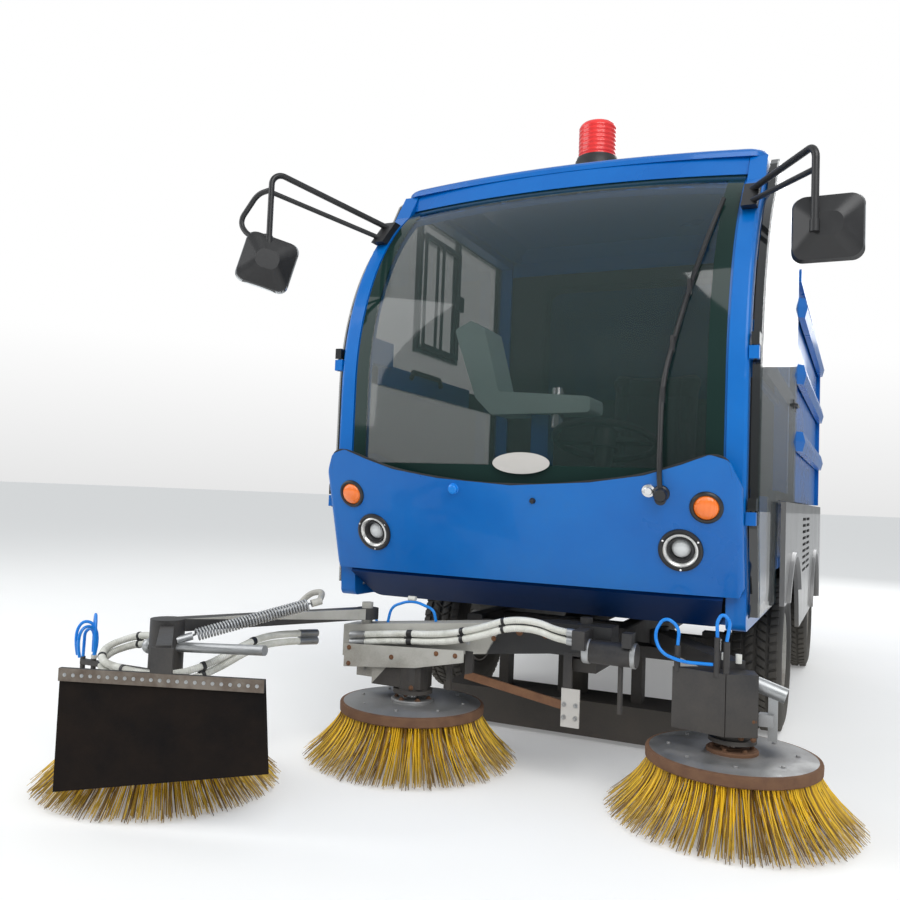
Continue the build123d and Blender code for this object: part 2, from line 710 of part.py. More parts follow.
with BuildPart() as headlamp:
    with BuildSketch(Plane.XZ):
        with BuildLine():
            lens_edge = (46, -18)
            Polyline((0, -10), (0, -44), (40, -44), (headlamp_hole - lamp_play, -24))
            Polyline((headlamp_hole - lamp_play, -24), (headlamp_hole - lamp_play, 0.5), (70, 0.5))
            ThreePointArc((70, 0.5), (60, 9), (50, 1))
            Line((50, 1), lens_edge)
            ThreePointArc(lens_edge, dome_middle(46, -18, -10), (0, -10))
        make_face()
    revolve(axis=Axis.Z)
with BuildPart() as indicator:
    with BuildSketch(Plane.XZ):
        with BuildLine():
            Polyline((0, 17), (0, -nose_thickness), (indicator_hole - lamp_play, -nose_thickness))
            Polyline((indicator_hole - lamp_play, -nose_thickness), (indicator_hole - lamp_play, 0.5), (50, 0.5))
            Polyline((50, 0.5), (50, 5), (40, 8))
            ThreePointArc((40, 8), dome_middle(40, 8, 17), (0, 17))
        make_face()
    revolve(axis=Axis.Z)
for lamp_name, lamp_part, lamp_x, lamp_z in (
    ("headlamps", headlamp.part, headlamp_x, headlamp_z),
    ("indicators", indicator.part, indicator_x, indicator_z),
):
    with BuildPart() as lamps:
        for side in (-1, 1):
            add(lamp_part.moved(lamp_plane(side * lamp_x, lamp_z).location))
    save(lamps.part, lamp_name)

# Skirt under the nose
skirt_half_width = nose_half_width - 62.0
skirt_top_y = 38.0
skirt_top_z = 618.0
skirt_low_y = 190.0
skirt_low_z = 520.0
skirt_thickness = 14.0
skirt_fall = math.atan2(skirt_top_z - skirt_low_z, skirt_low_y - skirt_top_y)
skirt_length = math.hypot(skirt_top_z - skirt_low_z, skirt_low_y - skirt_top_y)
skirt_plane = Plane(
    origin=(0, skirt_top_y, skirt_top_z),
    x_dir=(1, 0, 0),
    z_dir=(0, -math.sin(skirt_fall), -math.cos(skirt_fall)),
)
with BuildPart() as lower_skirt:
    with BuildSketch(skirt_plane) as skirt_sketch:
        with BuildLine():
            Polyline(
                (-skirt_half_width, 0),
                (skirt_half_width, 0),
                (skirt_half_width - 28, -skirt_length),
                (-skirt_half_width + 28, -skirt_length),
                close=True,
            )
        make_face()
        fillet(skirt_sketch.vertices().group_by(Axis.Y)[0], 30)
    extrude(amount=-skirt_thickness)
    with Locations((0, skirt_low_y + 5, skirt_low_z + 20)):
        Box(2 * (skirt_half_width - 30), 6, 32)
save(lower_skirt.part, "lower_skirt")

# Beacon on the roof: a round foot and a ribbed lens
beacon_y = 800.0
beacon_foot_radius = 95.0
beacon_foot_height = 78.0
beacon_lens_radius = 78.0
beacon_lens_height = 150.0
beacon_ribs = 24
with BuildPart() as beacon_base:
    with BuildSketch(Plane.XZ):
        with BuildLine():
            Polyline(
                (0, 0),
                (beacon_foot_radius + 14, 0),
                (beacon_foot_radius + 14, 8),
                (beacon_foot_radius, 14),
                (beacon_foot_radius - 4, beacon_foot_height - 8),
                (beacon_foot_radius - 12, beacon_foot_height),
                (0, beacon_foot_height),
                close=True,
            )
        make_face()
    revolve(axis=Axis.Z)
save(beacon_base.part.moved(Location((0, beacon_y, roof_top_z))), "beacon_base")
with BuildPart() as beacon_lens:
    with BuildSketch():
        Circle(beacon_lens_radius - 3)
        with PolarLocations(beacon_lens_radius - 3, beacon_ribs):
            Circle(5)
    extrude(amount=beacon_lens_height - 8)
    with Locations((0, 0, beacon_lens_height - 8)):
        Cone(beacon_lens_radius - 4, beacon_lens_radius - 14, 8, align=(Align.CENTER, Align.CENTER, Align.MIN))
save(beacon_lens.part.moved(Location((0, beacon_y, roof_top_z + beacon_foot_height))), "beacon_lens")

# Hopper: a box open at the back with pressed ribs along its sides, hinge lugs and cylinder lugs
hopper_wall = 8.0
hopper_top_rear_z = hopper_top_z - 120.0
hopper_top_bend_y = 2650.0
rib_depth = 50.0
rib_height = 95.0
rib_slope = 14.0
rib_lead = 70.0
rib_zs = (hopper_floor_z + 290.0, hopper_floor_z + 615.0, hopper_top_z - 175.0)
rim_depth = 24.0
rim_height = 60.0
lid_hinge_y = hopper_rear_y + 26.0
lid_hinge_z = hopper_top_rear_z + 22.0
lid_pin_radius = 8.0
lid_lug_x = hopper_half_width - 235.0
hopper_corner = 30.0
with BuildPart() as hopper:
    with BuildSketch(Plane.YZ.offset(-hopper_half_width)):
        with BuildLine():
            Polyline(
                (hopper_front_y, hopper_floor_z),
                (hopper_front_y, hopper_top_z),
                (hopper_top_bend_y, hopper_top_z),
                (hopper_rear_y, hopper_top_rear_z),
                (hopper_rear_y, hopper_floor_z),
                close=True,
            )
        make_face()
    extrude(amount=2 * hopper_half_width)
    upright_edges = hopper.edges().filter_by(Axis.Z).group_by(Axis.Y)[0]
    fillet(upright_edges, hopper_corner)
    with BuildSketch(Plane.YZ.offset(-hopper_half_width + hopper_wall)):
        with BuildLine():
            Polyline(
                (hopper_front_y + hopper_wall, hopper_floor_z + hopper_wall),
                (hopper_front_y + hopper_wall, hopper_top_z - hopper_wall),
                (hopper_top_bend_y, hopper_top_z - hopper_wall),
                (hopper_rear_y + 1, hopper_top_rear_z - hopper_wall),
                (hopper_rear_y + 1, hopper_floor_z + hopper_wall),
                close=True,
            )
        make_face()
    extrude(amount=2 * hopper_half_width - 2 * hopper_wall, mode=Mode.SUBTRACT)
    for side in (-1, 1):
        for rib_z in rib_zs:
            with BuildSketch(Plane.XY.offset(rib_z)):
                with BuildLine():
                    Polyline(
                        (side * (hopper_half_width - 2), hopper_front_y + hopper_corner),
                        (side * (hopper_half_width + rib_depth), hopper_front_y + hopper_corner + rib_lead),
                        (side * (hopper_half_width + rib_depth), hopper_rear_y - rib_lead),
                        (side * (hopper_half_width - 2), hopper_rear_y),
                        close=True,
                    )
                make_face()
            extrude(amount=rib_height / 2, both=True, taper=rib_slope)
        with BuildSketch(Plane.YZ.offset(side * (hopper_half_width - 2))):
            with BuildLine():
                Polyline(
                    (hopper_front_y + hopper_corner, hopper_top_z - rim_height),
                    (hopper_front_y + hopper_corner, hopper_top_z),
                    (hopper_top_bend_y, hopper_top_z),
                    (hopper_rear_y, hopper_top_rear_z),
                    (hopper_rear_y, hopper_top_rear_z - rim_height),
                    (hopper_top_bend_y, hopper_top_z - rim_height),
                    close=True,
                )
            make_face()
        extrude(amount=side * (rim_depth + 2))
        with Locations((side * (hopper_half_width + 10), hopper_rear_y - 30, (hopper_floor_z + hopper_top_rear_z) / 2)):
            Box(24, 60, hopper_top_rear_z - hopper_floor_z)
    with Locations((0, (hopper_front_y + hopper_top_bend_y) / 2, hopper_top_z)):
        Box(700, 520, 2 * 26)
        Box(700 - 2 * hopper_wall, 520 - 2 * hopper_wall, 36, mode=Mode.SUBTRACT)
    for side in (-1, 1):
        with Locations((side * (rail_half_gap + 31), hinge_y, (hinge_z + hopper_floor_z) / 2)):
            Box(24, 2 * hinge_knuckle_radius, hopper_floor_z - hinge_z + 2)
        with Locations((side * (rail_half_gap + 31), hinge_y, hinge_z)):
            Cylinder(hinge_knuckle_radius, 24, rotation=(0, 90, 0))
        with Locations((side * (rail_half_gap + 12), hinge_y, hinge_z)):
            Cylinder(hinge_pin_radius, 62, rotation=(0, 90, 0))
        with Locations((side * lid_lug_x, lid_hinge_y - 33, lid_hinge_z)):
            Box(30, 66, 30)
        with Locations((side * lid_lug_x, lid_hinge_y - 48, lid_hinge_z - 14)):
            Box(30, 36, 30)
        with Locations((side * lid_lug_x, lid_hinge_y, lid_hinge_z)):
            Cylinder(15, 30, rotation=(0, 90, 0))
            Cylinder(lid_pin_radius + pivot_play, 30, rotation=(0, 90, 0), mode=Mode.SUBTRACT)
        with Locations((side * 41, cylinder_eye_y, (cylinder_eye_z - 30 + hopper_floor_z + 2) / 2)):
            Box(14, 90, hopper_floor_z + 2 - cylinder_eye_z + 30)
save(hopper.part, "hopper")

# Tilt cylinder: its foot turns between the frame's lugs, its rod's eye stands between the hopper's lugs
barrel_radius = 45.0
barrel_length = 660.0
rod_radius = 25.0
rod_play = 0.08
eye_radius = 32.0
eye_half_width = 28.0
rod_low = 60.0
cylinder_rise = math.degrees(math.atan2(cylinder_eye_z - cylinder_foot_z, cylinder_eye_y - cylinder_foot_y))
cylinder_length = math.hypot(cylinder_eye_z - cylinder_foot_z, cylinder_eye_y - cylinder_foot_y)
cylinder_place = Location((0, cylinder_foot_y, cylinder_foot_z), (cylinder_rise - 90, 0, 0))
with BuildPart() as tilt_barrel:
    with BuildSketch(Plane.XZ):
        with BuildLine():
            Polyline(
                (0, 26),
                (24, 26),
                (barrel_radius, 44),
                (barrel_radius, barrel_length - 50),
                (barrel_radius + 6, barrel_length - 46),
                (barrel_radius + 6, barrel_length - 6),
                (barrel_radius, barrel_length),
                (0, barrel_length),
                close=True,
            )
        make_face()
    revolve(axis=Axis.Z)
    Cylinder(eye_radius, 2 * eye_half_width, rotation=(0, 90, 0))
    Cylinder(foot_pin_radius, 2 * (lug_half_gap + lug_thickness / 2), rotation=(0, 90, 0))
    with Locations((0, 0, rod_low - 10)):
        Cylinder(
            rod_radius + rod_play,
            barrel_length,
            align=(Align.CENTER, Align.CENTER, Align.MIN),
            mode=Mode.SUBTRACT,
        )
save(tilt_barrel.part.moved(cylinder_place), "tilt_barrel")
with BuildPart() as tilt_rod:
    with Locations((0, 0, rod_low)):
        Cylinder(rod_radius, cylinder_length - rod_low, align=(Align.CENTER, Align.CENTER, Align.MIN))
    with Locations((0, 0, cylinder_length)):
        Cylinder(eye_radius, 2 * eye_half_width, rotation=(0, 90, 0))
save(tilt_rod.part.moved(cylinder_place), "tilt_rod")

# Rear door of the hopper with pockets between its ribs and a latch plate
rear_door_thickness = 40.0
rear_door_gap = 6.0
pocket_depth = 14.0
door_height = hopper_top_rear_z - hopper_floor_z
pocket_width = (2 * hopper_half_width - 4 * 60) / 3
with BuildPart() as rear_door:
    for side in (-1, 1):
        hanger_low = hopper_top_rear_z - 10
        with Locations((side * (lid_lug_x + 45), lid_hinge_y, (hanger_low + lid_hinge_z + 15) / 2)):
            Box(30, 36, lid_hinge_z + 15 - hanger_low)
        with Locations((side * (lid_lug_x + 22), lid_hinge_y, lid_hinge_z)):
            Cylinder(lid_pin_radius, 76, rotation=(0, 90, 0))
    with Locations((0, hopper_rear_y + rear_door_gap + rear_door_thickness / 2, hopper_floor_z + door_height / 2)):
        Box(2 * hopper_half_width, rear_door_thickness, door_height)
    with BuildSketch(Plane.XZ.offset(-(hopper_rear_y + rear_door_gap + rear_door_thickness))):
        for pocket_z in (hopper_floor_z + door_height * 0.28, hopper_floor_z + door_height * 0.72):
            with Locations((0, pocket_z)):
                with GridLocations(pocket_width + 60, 10, 3, 1):
                    RectangleRounded(pocket_width, door_height * 0.34, 24)
    extrude(amount=pocket_depth, mode=Mode.SUBTRACT)
    with Locations((0, hopper_rear_y + rear_door_gap + rear_door_thickness + 10, hopper_floor_z + 40)):
        Box(220, 20, 60)
save(rear_door.part, "hopper_rear_door")

# Lower side panels: arches with flared lips over both wheels and rows of air slots between them
panel_front_y = arch_step_y - 40.0
panel_rear_y = hopper_rear_y - 340.0
panel_low_z = 380.0
panel_high_z = deck_z + deck_thickness
front_arch_radius = 400.0
rear_arch_radius = 350.0
arch_lip = 26.0
lip_out = 14.0
slot_rows = 9
slot_pitch = 30.0
slot_height = 14.0
slot_length = 260.0
slot_mid_y = (front_axle_y + rear_axle_y) / 2
for side, side_name in ((1, "left"), (-1, "right")):
    start_x = panel_outer_x - panel_thickness if side > 0 else -panel_outer_x
    with BuildPart() as side_panel:
        with BuildSketch(Plane.YZ.offset(start_x)) as panel_sketch:
            with Locations(((panel_front_y + panel_rear_y) / 2, (panel_low_z + panel_high_z) / 2)):
                Rectangle(panel_rear_y - panel_front_y, panel_high_z - panel_low_z)
            with Locations((front_axle_y, tyre_radius)):
                Circle(front_arch_radius, mode=Mode.SUBTRACT)
            with Locations((front_axle_y - 300, 400)):
                Rectangle(600, 300, mode=Mode.SUBTRACT)
            with Locations((rear_axle_y, tyre_radius)):
                Circle(rear_arch_radius, mode=Mode.SUBTRACT)
            for slot_side in (-1, 1):
                with Locations((slot_mid_y + slot_side * (slot_length / 2 + 20), panel_high_z - 190)):
                    with GridLocations(1, slot_pitch, 1, slot_rows):
                        SlotOverall(slot_length, slot_height, mode=Mode.SUBTRACT)
        extrude(amount=panel_thickness)
        for arch_y, arch_radius, lip_low_z, lip_end in (
            (front_axle_y, front_arch_radius, 552, 1),
            (rear_axle_y, rear_arch_radius, panel_low_z, -1),
        ):
            with BuildSketch(Plane.YZ.offset(side * (panel_outer_x - 2))):
                with Locations((arch_y, tyre_radius)):
                    Circle(arch_radius + arch_lip)
                    Circle(arch_radius, mode=Mode.SUBTRACT)
                with Locations((arch_y, lip_low_z - 500)):
                    Rectangle(2000, 1000, mode=Mode.SUBTRACT)
            extrude(amount=side * (lip_out + 2), taper=12)
    save(side_panel.part, "side_panel_" + side_name)


# Rods and hoses: a rod between two points, and a route whose corners are rounded as far as its runs allow
def rod_place(start, end):
    return Plane(origin=start, z_dir=Vector(*end) - Vector(*start)).location


def gap_between(start, end):
    return (Vector(*end) - Vector(*start)).length


def corner_radii(points):
    radii = []
    for before, corner, after in zip(points, points[1:], points[2:]):
        run_in = Vector(*corner) - Vector(*before)
        run_out = Vector(*after) - Vector(*corner)
        half_turn = math.radians(run_in.get_angle(run_out)) / 2
        radii.append(0.45 * min(run_in.length, run_out.length) / math.tan(half_turn))
    return radii


def hose(points, radius):
    with BuildPart() as hose_part:
        with BuildLine():
            FilletPolyline(*points, radius=corner_radii(points))
        with BuildSketch(Plane(origin=points[0], z_dir=Vector(*points[1]) - Vector(*points[0]))):
            Circle(radius)
        sweep()
    return hose_part.part


# Sweeping gear: three brushes, each a disc with a bolted hub and splayed bristles
motor_low_z = 226.0
motor_radius = 52.0
shaft_radius = 20.0
shaft_play = 0.08
shaft_top_z = 280.0
hub_radius = 74.0
hub_height = 10.0
middle_pivot = (tongue_x, 40.0)
left_brush = (705.0, -40.0)
middle_brush = (-360.0, -10.0)
outer_brush = (-887.0, -650.0)
outer_pivot = (-560.0, 0.0)
side_pivot = (side_pivot_x, side_pivot_y)
bristle_top_z = 150.0
bristle_low_z = 4.0
brushes = (
    # name, centre
    ("brush_left", left_brush),
    ("brush_middle", middle_brush),
    ("brush_outer", outer_brush),
)
for brush_name, centre in brushes:
    with BuildPart() as brush:
        with BuildSketch(Plane.XZ):
            with BuildLine():
                Polyline(
                    (0, brush_disc_z + hub_height),
                    (hub_radius, brush_disc_z + hub_height),
                    (hub_radius, brush_disc_z),
                    (brush_disc_radius, brush_disc_z),
                    (brush_disc_radius, brush_disc_z - 12),
                    (brush_disc_radius - 14, brush_disc_z - 12),
                    (brush_disc_radius - 12, bristle_top_z),
                    (brush_tip_radius, bristle_low_z),
                    (brush_tip_radius - 90, bristle_low_z),
                    (brush_disc_radius - 70, bristle_top_z),
                    (brush_disc_radius - 70, brush_disc_z - 12),
                    (0, brush_disc_z - 12),
                    close=True,
                )
            make_face()
        revolve(axis=Axis.Z)
        with Locations((0, 0, brush_disc_z + 1)):
            Cylinder(shaft_radius, shaft_top_z - brush_disc_z - 1, align=(Align.CENTER, Align.CENTER, Align.MIN))
        with Locations((0, 0, brush_disc_z + hub_height - 1)):
            with PolarLocations(hub_radius - 18, 6):
                Cylinder(7, 7, align=(Align.CENTER, Align.CENTER, Align.MIN))
    save(brush.part.moved(Location((centre[0], centre[1], 0))), brush_name)


def reach(start, end):
    return math.hypot(end[0] - start[0], end[1] - start[1])


def turn(start, end):
    return math.degrees(math.atan2(end[1] - start[1], end[0] - start[0]))


# Left arm, from its pivot beside the frame to the left brush, with a bent guard before the motor
side_arm_z = 431.0
side_arm_height = 50.0
motor_top_z = 406.0
guard_low_z = 255.0
guard_high_z = 430.0
guard_points = ((540.0, -95.0), (695.0, -130.0), (778.0, -88.0))
guard_thickness = 8.0
tube_posts = (
    # across, along, low, high
    (552.0, -97.0, 418.0, 492.0),
    (668.0, -122.0, 418.0, 530.0),
    (694.0, -122.0, 418.0, 520.0),
)
tube_post_radius = 9.0
with BuildPart() as arm_left:
    with Locations(Location((side_pivot[0], side_pivot[1], side_arm_z), (0, 0, turn(side_pivot, left_brush)))):
        Box(reach(side_pivot, left_brush), 70, side_arm_height, align=(Align.MIN, Align.CENTER, Align.CENTER))
    with Locations((side_pivot[0], side_pivot[1], side_arm_z)):
        Cylinder(48, side_arm_height)
    with Locations((left_brush[0], left_brush[1], motor_low_z)):
        Cylinder(motor_radius, motor_top_z + 10 - motor_low_z, align=(Align.CENTER, Align.CENTER, Align.MIN))
        Cylinder(motor_radius + 16, 12, align=(Align.CENTER, Align.CENTER, Align.MIN))
    for start, end in zip(guard_points, guard_points[1:]):
        with Locations(Location((start[0], start[1], (guard_low_z + guard_high_z) / 2), (0, 0, turn(start, end)))):
            Box(
                reach(start, end),
                guard_thickness,
                guard_high_z - guard_low_z,
                align=(Align.MIN, Align.CENTER, Align.CENTER),
            )
    with BuildSketch(Plane.XY.offset(guard_high_z - 12)):
        with BuildLine():
            Polyline(*guard_points, (760, -20), (640, -20), (560, -84), close=True)
        make_face()
    extrude(amount=12)
    for post_x, post_y, post_low_z, post_high_z in tube_posts:
        with Locations((post_x, post_y, post_low_z)):
            Cylinder(tube_post_radius, post_high_z - post_low_z, align=(Align.CENTER, Align.CENTER, Align.MIN))
    ram_start = (742.0, -40.0, 406.0)
    ram_end = (850.0, -40.0, 372.0)
    with Locations(rod_place(ram_start, ram_end)):
        Cylinder(22, gap_between(ram_start, ram_end), align=(Align.CENTER, Align.CENTER, Align.MIN))
    with Locations((815, -40, 310)):
        Box(26, 8, 140)
    with Locations((798, -46, 300)):
        Box(40, 34, 34)
    with Locations((left_brush[0], left_brush[1], motor_low_z - 1)):
        Cylinder(
            shaft_radius + shaft_play,
            shaft_top_z + 6 - motor_low_z,
            align=(Align.CENTER, Align.CENTER, Align.MIN),
            mode=Mode.SUBTRACT,
        )
    with Locations((side_pivot[0], side_pivot[1], side_arm_z)):
        Cylinder(pivot_pin_radius + pivot_play, 200, mode=Mode.SUBTRACT)
save(arm_left.part, "arm_left")

# Thin blue water tubes of the left arm: two loops between the posts
tube_radius_small = 5.0
tube_left_loops = (
    (
        (552, -97, 492.8),
        (556, -97, 546),
        (512, -97, 574),
        (482, -101, 520),
        (506, -114, 468),
        (570, -119, 449),
        (658.2, -122, 452),
    ),
    (
        (668, -122, 530.5),
        (666, -122, 576),
        (682, -122, 601),
        (703, -122, 578),
        (694, -122, 521.1),
    ),
)
with BuildPart() as tube_left:
    for loop_points in tube_left_loops:
        add(hose(loop_points, tube_radius_small))
save(tube_left.part, "tube_left")

# Middle arm: the pale tapered box beam across the nose, with the middle brush's motor under it
beam_low_near = 412.0
beam_high_near = 512.0
beam_low_far = 322.0
beam_high_far = 432.0
beam_far_x = -640.0
beam_near_x = middle_pivot[0] - 100.0
beam_depth = 90.0
beam_mid_y = (middle_pivot[1] + outer_pivot[1]) / 2
beam_front_y = beam_mid_y - beam_depth / 2
damper_radius = 36.0
damper_y = beam_front_y - damper_radius + 3.0
damper_z = 440.0


def beam_low_at(x):
    share = (x - beam_far_x) / (beam_near_x - beam_far_x)
    return beam_low_far + share * (beam_low_near - beam_low_far)


with BuildPart() as arm_middle:
    with BuildSketch(Plane.XZ.offset(-beam_mid_y - beam_depth / 2)):
        with BuildLine():
            Polyline(
                (middle_pivot[0] + 100, beam_low_near),
                (middle_pivot[0] + 100, beam_high_near),
                (beam_near_x, beam_high_near),
                (beam_far_x, beam_high_far),
                (beam_far_x, beam_low_far),
                (beam_near_x, beam_low_near),
                close=True,
            )
        make_face()
    extrude(amount=beam_depth)
    with Locations((middle_brush[0], middle_brush[1], motor_low_z)):
        Cylinder(motor_radius, 150, align=(Align.CENTER, Align.CENTER, Align.MIN))
        Cylinder(motor_radius + 16, 12, align=(Align.CENTER, Align.CENTER, Align.MIN))
    motor_block_x = middle_brush[0] - 45
    with Locations((motor_block_x, middle_brush[1], motor_low_z + 18)):
        Box(190, 88, beam_low_at(motor_block_x) + 20 - motor_low_z - 18, align=(Align.CENTER, Align.CENTER, Align.MIN))
    with Locations((-507, beam_front_y - 3, (262 + 358) / 2)):
        Box(133, 12, 358 - 262)
    with Locations((-222, beam_front_y + 12, (250 + beam_low_at(-222) + 10) / 2)):
        Box(16, 16, beam_low_at(-222) + 10 - 250)
    with Locations((255, damper_y, damper_z)):
        Cylinder(damper_radius, 170, rotation=(0, 90, 0), align=(Align.CENTER, Align.CENTER, Align.MIN))
    with Locations((375, damper_y, 260)):
        Cylinder(8, damper_z - 260, align=(Align.CENTER, Align.CENTER, Align.MIN))
    with Locations((255, beam_front_y - 45, 477)):
        Box(40, 96, 58)
    with Locations((400, damper_y - 14, 488)):
        Box(30, 50, 44)
    lever_start = (-160.0, beam_front_y + 4, 310.0)
    lever_end = (210.0, beam_front_y + 4, 250.0)
    lever_fall = math.degrees(math.atan2(lever_start[2] - lever_end[2], lever_end[0] - lever_start[0]))
    with Locations(Location(lever_start, (0, lever_fall, 0))):
        Box(gap_between(lever_start, lever_end), 10, 26, align=(Align.MIN, Align.CENTER, Align.CENTER))
    with Locations((-146, beam_front_y + 6, (300 + beam_low_at(-146) + 10) / 2)):
        Box(28, 14, beam_low_at(-146) + 10 - 300)
    with Locations((196, beam_front_y + 6, (244 + beam_low_near + 10) / 2)):
        Box(28, 14, beam_low_near + 10 - 244)
    with Locations((210, beam_front_y - 3, 250)):
        Box(60, 6, 120)
    with Locations((middle_brush[0], middle_brush[1], motor_low_z - 1)):
        Cylinder(
            shaft_radius + shaft_play,
            shaft_top_z + 6 - motor_low_z,
            align=(Align.CENTER, Align.CENTER, Align.MIN),
            mode=Mode.SUBTRACT,
        )
    with Locations((middle_pivot[0], middle_pivot[1], 460)):
        Cylinder(pivot_pin_radius + pivot_play, 300, mode=Mode.SUBTRACT)
    with Locations((outer_pivot[0], outer_pivot[1], 400)):
        Cylinder(pivot_pin_radius, 115, align=(Align.CENTER, Align.CENTER, Align.MIN))
save(arm_middle.part, "arm_middle")

# A pair of white hoses clipped along the beam, and small blue tubes that loop behind it
hose_outside = 11.0
hose_pitch = 26.0
beam_hose_y = beam_front_y - hose_outside - 3.0
hose_beam_route = (
    (-600, beam_hose_y, 399),
    (-420, beam_hose_y, 424),
    (-240, beam_hose_y - 4, 436),
    (-90, beam_hose_y - 34, 476),
    (10, beam_hose_y - 46, 516),
    (110, beam_hose_y - 46, 519),
    (180, beam_hose_y - 40, 494),
    (233.6, beam_hose_y - 34, 491),
)
with BuildPart() as hose_beam:
    for row in (0, 1):
        route = [(x, y, z - row * hose_pitch) for x, y, z in hose_beam_route]
        add(hose(route, hose_outside))
    for clip_x, clip_y, clip_z in ((-420, beam_hose_y, 411), (-240, beam_hose_y - 4, 423)):
        with Locations((clip_x, (clip_y - 2 + beam_front_y - 0.3) / 2, clip_z)):
            Box(14, beam_front_y - 0.3 - clip_y + 2, 54)
save(hose_beam.part, "hose_beam")
tube_back_y = beam_mid_y + beam_depth / 2 + tube_radius_small + 0.3
tube_lift = 0.8


def beam_high_at(x):
    share = (x - beam_far_x) / (beam_near_x - beam_far_x)
    return beam_high_far + share * (beam_high_near - beam_high_far)


tube_middle_loops = (
    ((-620, tube_back_y, 400), (-618, tube_back_y, 448), (-596, tube_back_y, 485), (-560, tube_back_y, 450), (-556, tube_back_y, 410)),
    (
        (-486, beam_mid_y, beam_high_at(-486) + tube_lift),
        (-474, beam_mid_y, 505),
        (-392, beam_mid_y, 535),
        (-306, beam_mid_y, 508),
        (-296, beam_mid_y, beam_high_at(-296) + tube_lift),
    ),
)
with BuildPart() as tube_middle:
    for loop_points in tube_middle_loops:
        add(hose(loop_points, tube_radius_small))
save(tube_middle.part, "tube_middle")

# Outer arm, on the far end of the middle arm, with the flap's strip before the outer brush
outer_arm_z = 476.0
outer_arm_height = 38.0
flap_turn = 20.0
flap_reach = 363.0
flap_shift = 141.5
flap_length = 560.0
flap_thickness = 6.0
strip_height = 34.0
strip_z = 390.0
flap_x = outer_brush[0] + flap_reach * math.sin(math.radians(flap_turn)) + flap_shift * math.cos(math.radians(flap_turn))
flap_y = outer_brush[1] - flap_reach * math.cos(math.radians(flap_turn)) + flap_shift * math.sin(math.radians(flap_turn))
flap_place = Location((flap_x, flap_y, strip_z), (0, 0, flap_turn))
flap_across = (math.cos(math.radians(flap_turn)), math.sin(math.radians(flap_turn)), 0)
flap_plane = Plane(origin=(flap_x, flap_y, strip_z), x_dir=flap_across, z_dir=(flap_across[1], -flap_across[0], 0))
spring_start = (-812.0, -622.0, 446.0)
spring_end = (-570.0, -345.0, 540.0)
spring_length = gap_between(spring_start, spring_end)
spring_place = rod_place(spring_start, spring_end)
spring_radius = 21.0
nozzle_bar_z = 326.0
nozzle_xs = (-1185.0, -1232.0)
with BuildPart() as arm_outer:
    with Locations(Location((outer_pivot[0], outer_pivot[1], outer_arm_z), (0, 0, turn(outer_pivot, outer_brush)))):
        Box(reach(outer_pivot, outer_brush), 60, outer_arm_height, align=(Align.MIN, Align.CENTER, Align.CENTER))
    with Locations((outer_pivot[0], outer_pivot[1], outer_arm_z)):
        Cylinder(40, outer_arm_height)
    with Locations((outer_brush[0], outer_brush[1], motor_low_z)):
        Cylinder(motor_radius, outer_arm_z + 19 - motor_low_z, align=(Align.CENTER, Align.CENTER, Align.MIN))
        Cylinder(motor_radius + 16, 12, align=(Align.CENTER, Align.CENTER, Align.MIN))
    tie_start = (-953.0, outer_brush[1], 405.0)
    tie_end = (-519.0, outer_brush[1], 437.0)
    with Locations(rod_place(tie_start, tie_end)):
        Cylinder(15, gap_between(tie_start, tie_end), align=(Align.CENTER, Align.CENTER, Align.MIN))
    with Locations(tie_start):
        Sphere(24)
    with Locations(spring_place * Location((0, 0, -48))):
        Cylinder(12, 48, align=(Align.CENTER, Align.CENTER, Align.MIN))
    with Locations(spring_place * Location((0, 0, spring_length))):
        Cylinder(12, 34, align=(Align.CENTER, Align.CENTER, Align.MIN))
    hook_points = ((-553, -326, 546), (-580, -262, 572), (-660, -232, 556), (-702, -262, 484))
    add(hose(hook_points, 10.0))
    with Locations((-1080, outer_brush[1], nozzle_bar_z)):
        Box(310, 18, 16)
    for nozzle_x in nozzle_xs:
        with Locations((nozzle_x, outer_brush[1], nozzle_bar_z - 44)):
            Cylinder(8, 60, align=(Align.CENTER, Align.CENTER, Align.MIN))
    with Locations((outer_brush[0], outer_brush[1], motor_low_z - 1)):
        Cylinder(
            shaft_radius + shaft_play,
            shaft_top_z + 6 - motor_low_z,
            align=(Align.CENTER, Align.CENTER, Align.MIN),
            mode=Mode.SUBTRACT,
        )
    with Locations((outer_pivot[0], outer_pivot[1], outer_arm_z)):
        Cylinder(pivot_pin_radius + pivot_play, 200, mode=Mode.SUBTRACT)
    with Locations(Location((outer_brush[0], outer_brush[1], outer_arm_z - 6), (0, 0, turn(outer_brush, (flap_x, flap_y))))):
        Box(reach(outer_brush, (flap_x, flap_y)) + 4, 40, 20, align=(Align.MIN, Align.CENTER, Align.CENTER))
    with Locations(flap_place * Location((0, -(flap_thickness / 2 + 4), 0))):
        Box(flap_length, 8, strip_height)
    with Locations(flap_place * Location((0, -(flap_thickness / 2 + 4), 45))):
        Box(60, 8, 80)
save(arm_outer.part, "arm_outer")
with BuildPart() as flap:
    with BuildSketch(flap_plane):
        with BuildLine():
            Polyline(
                (-flap_length / 2, 17),
                (flap_length / 2, 17),
                (flap_length / 2 + 20, 165 - strip_z),
                (-flap_length / 2, 80 - strip_z),
                close=True,
            )
        make_face()
    extrude(amount=flap_thickness / 2, both=True)
save(flap.part, "flap")

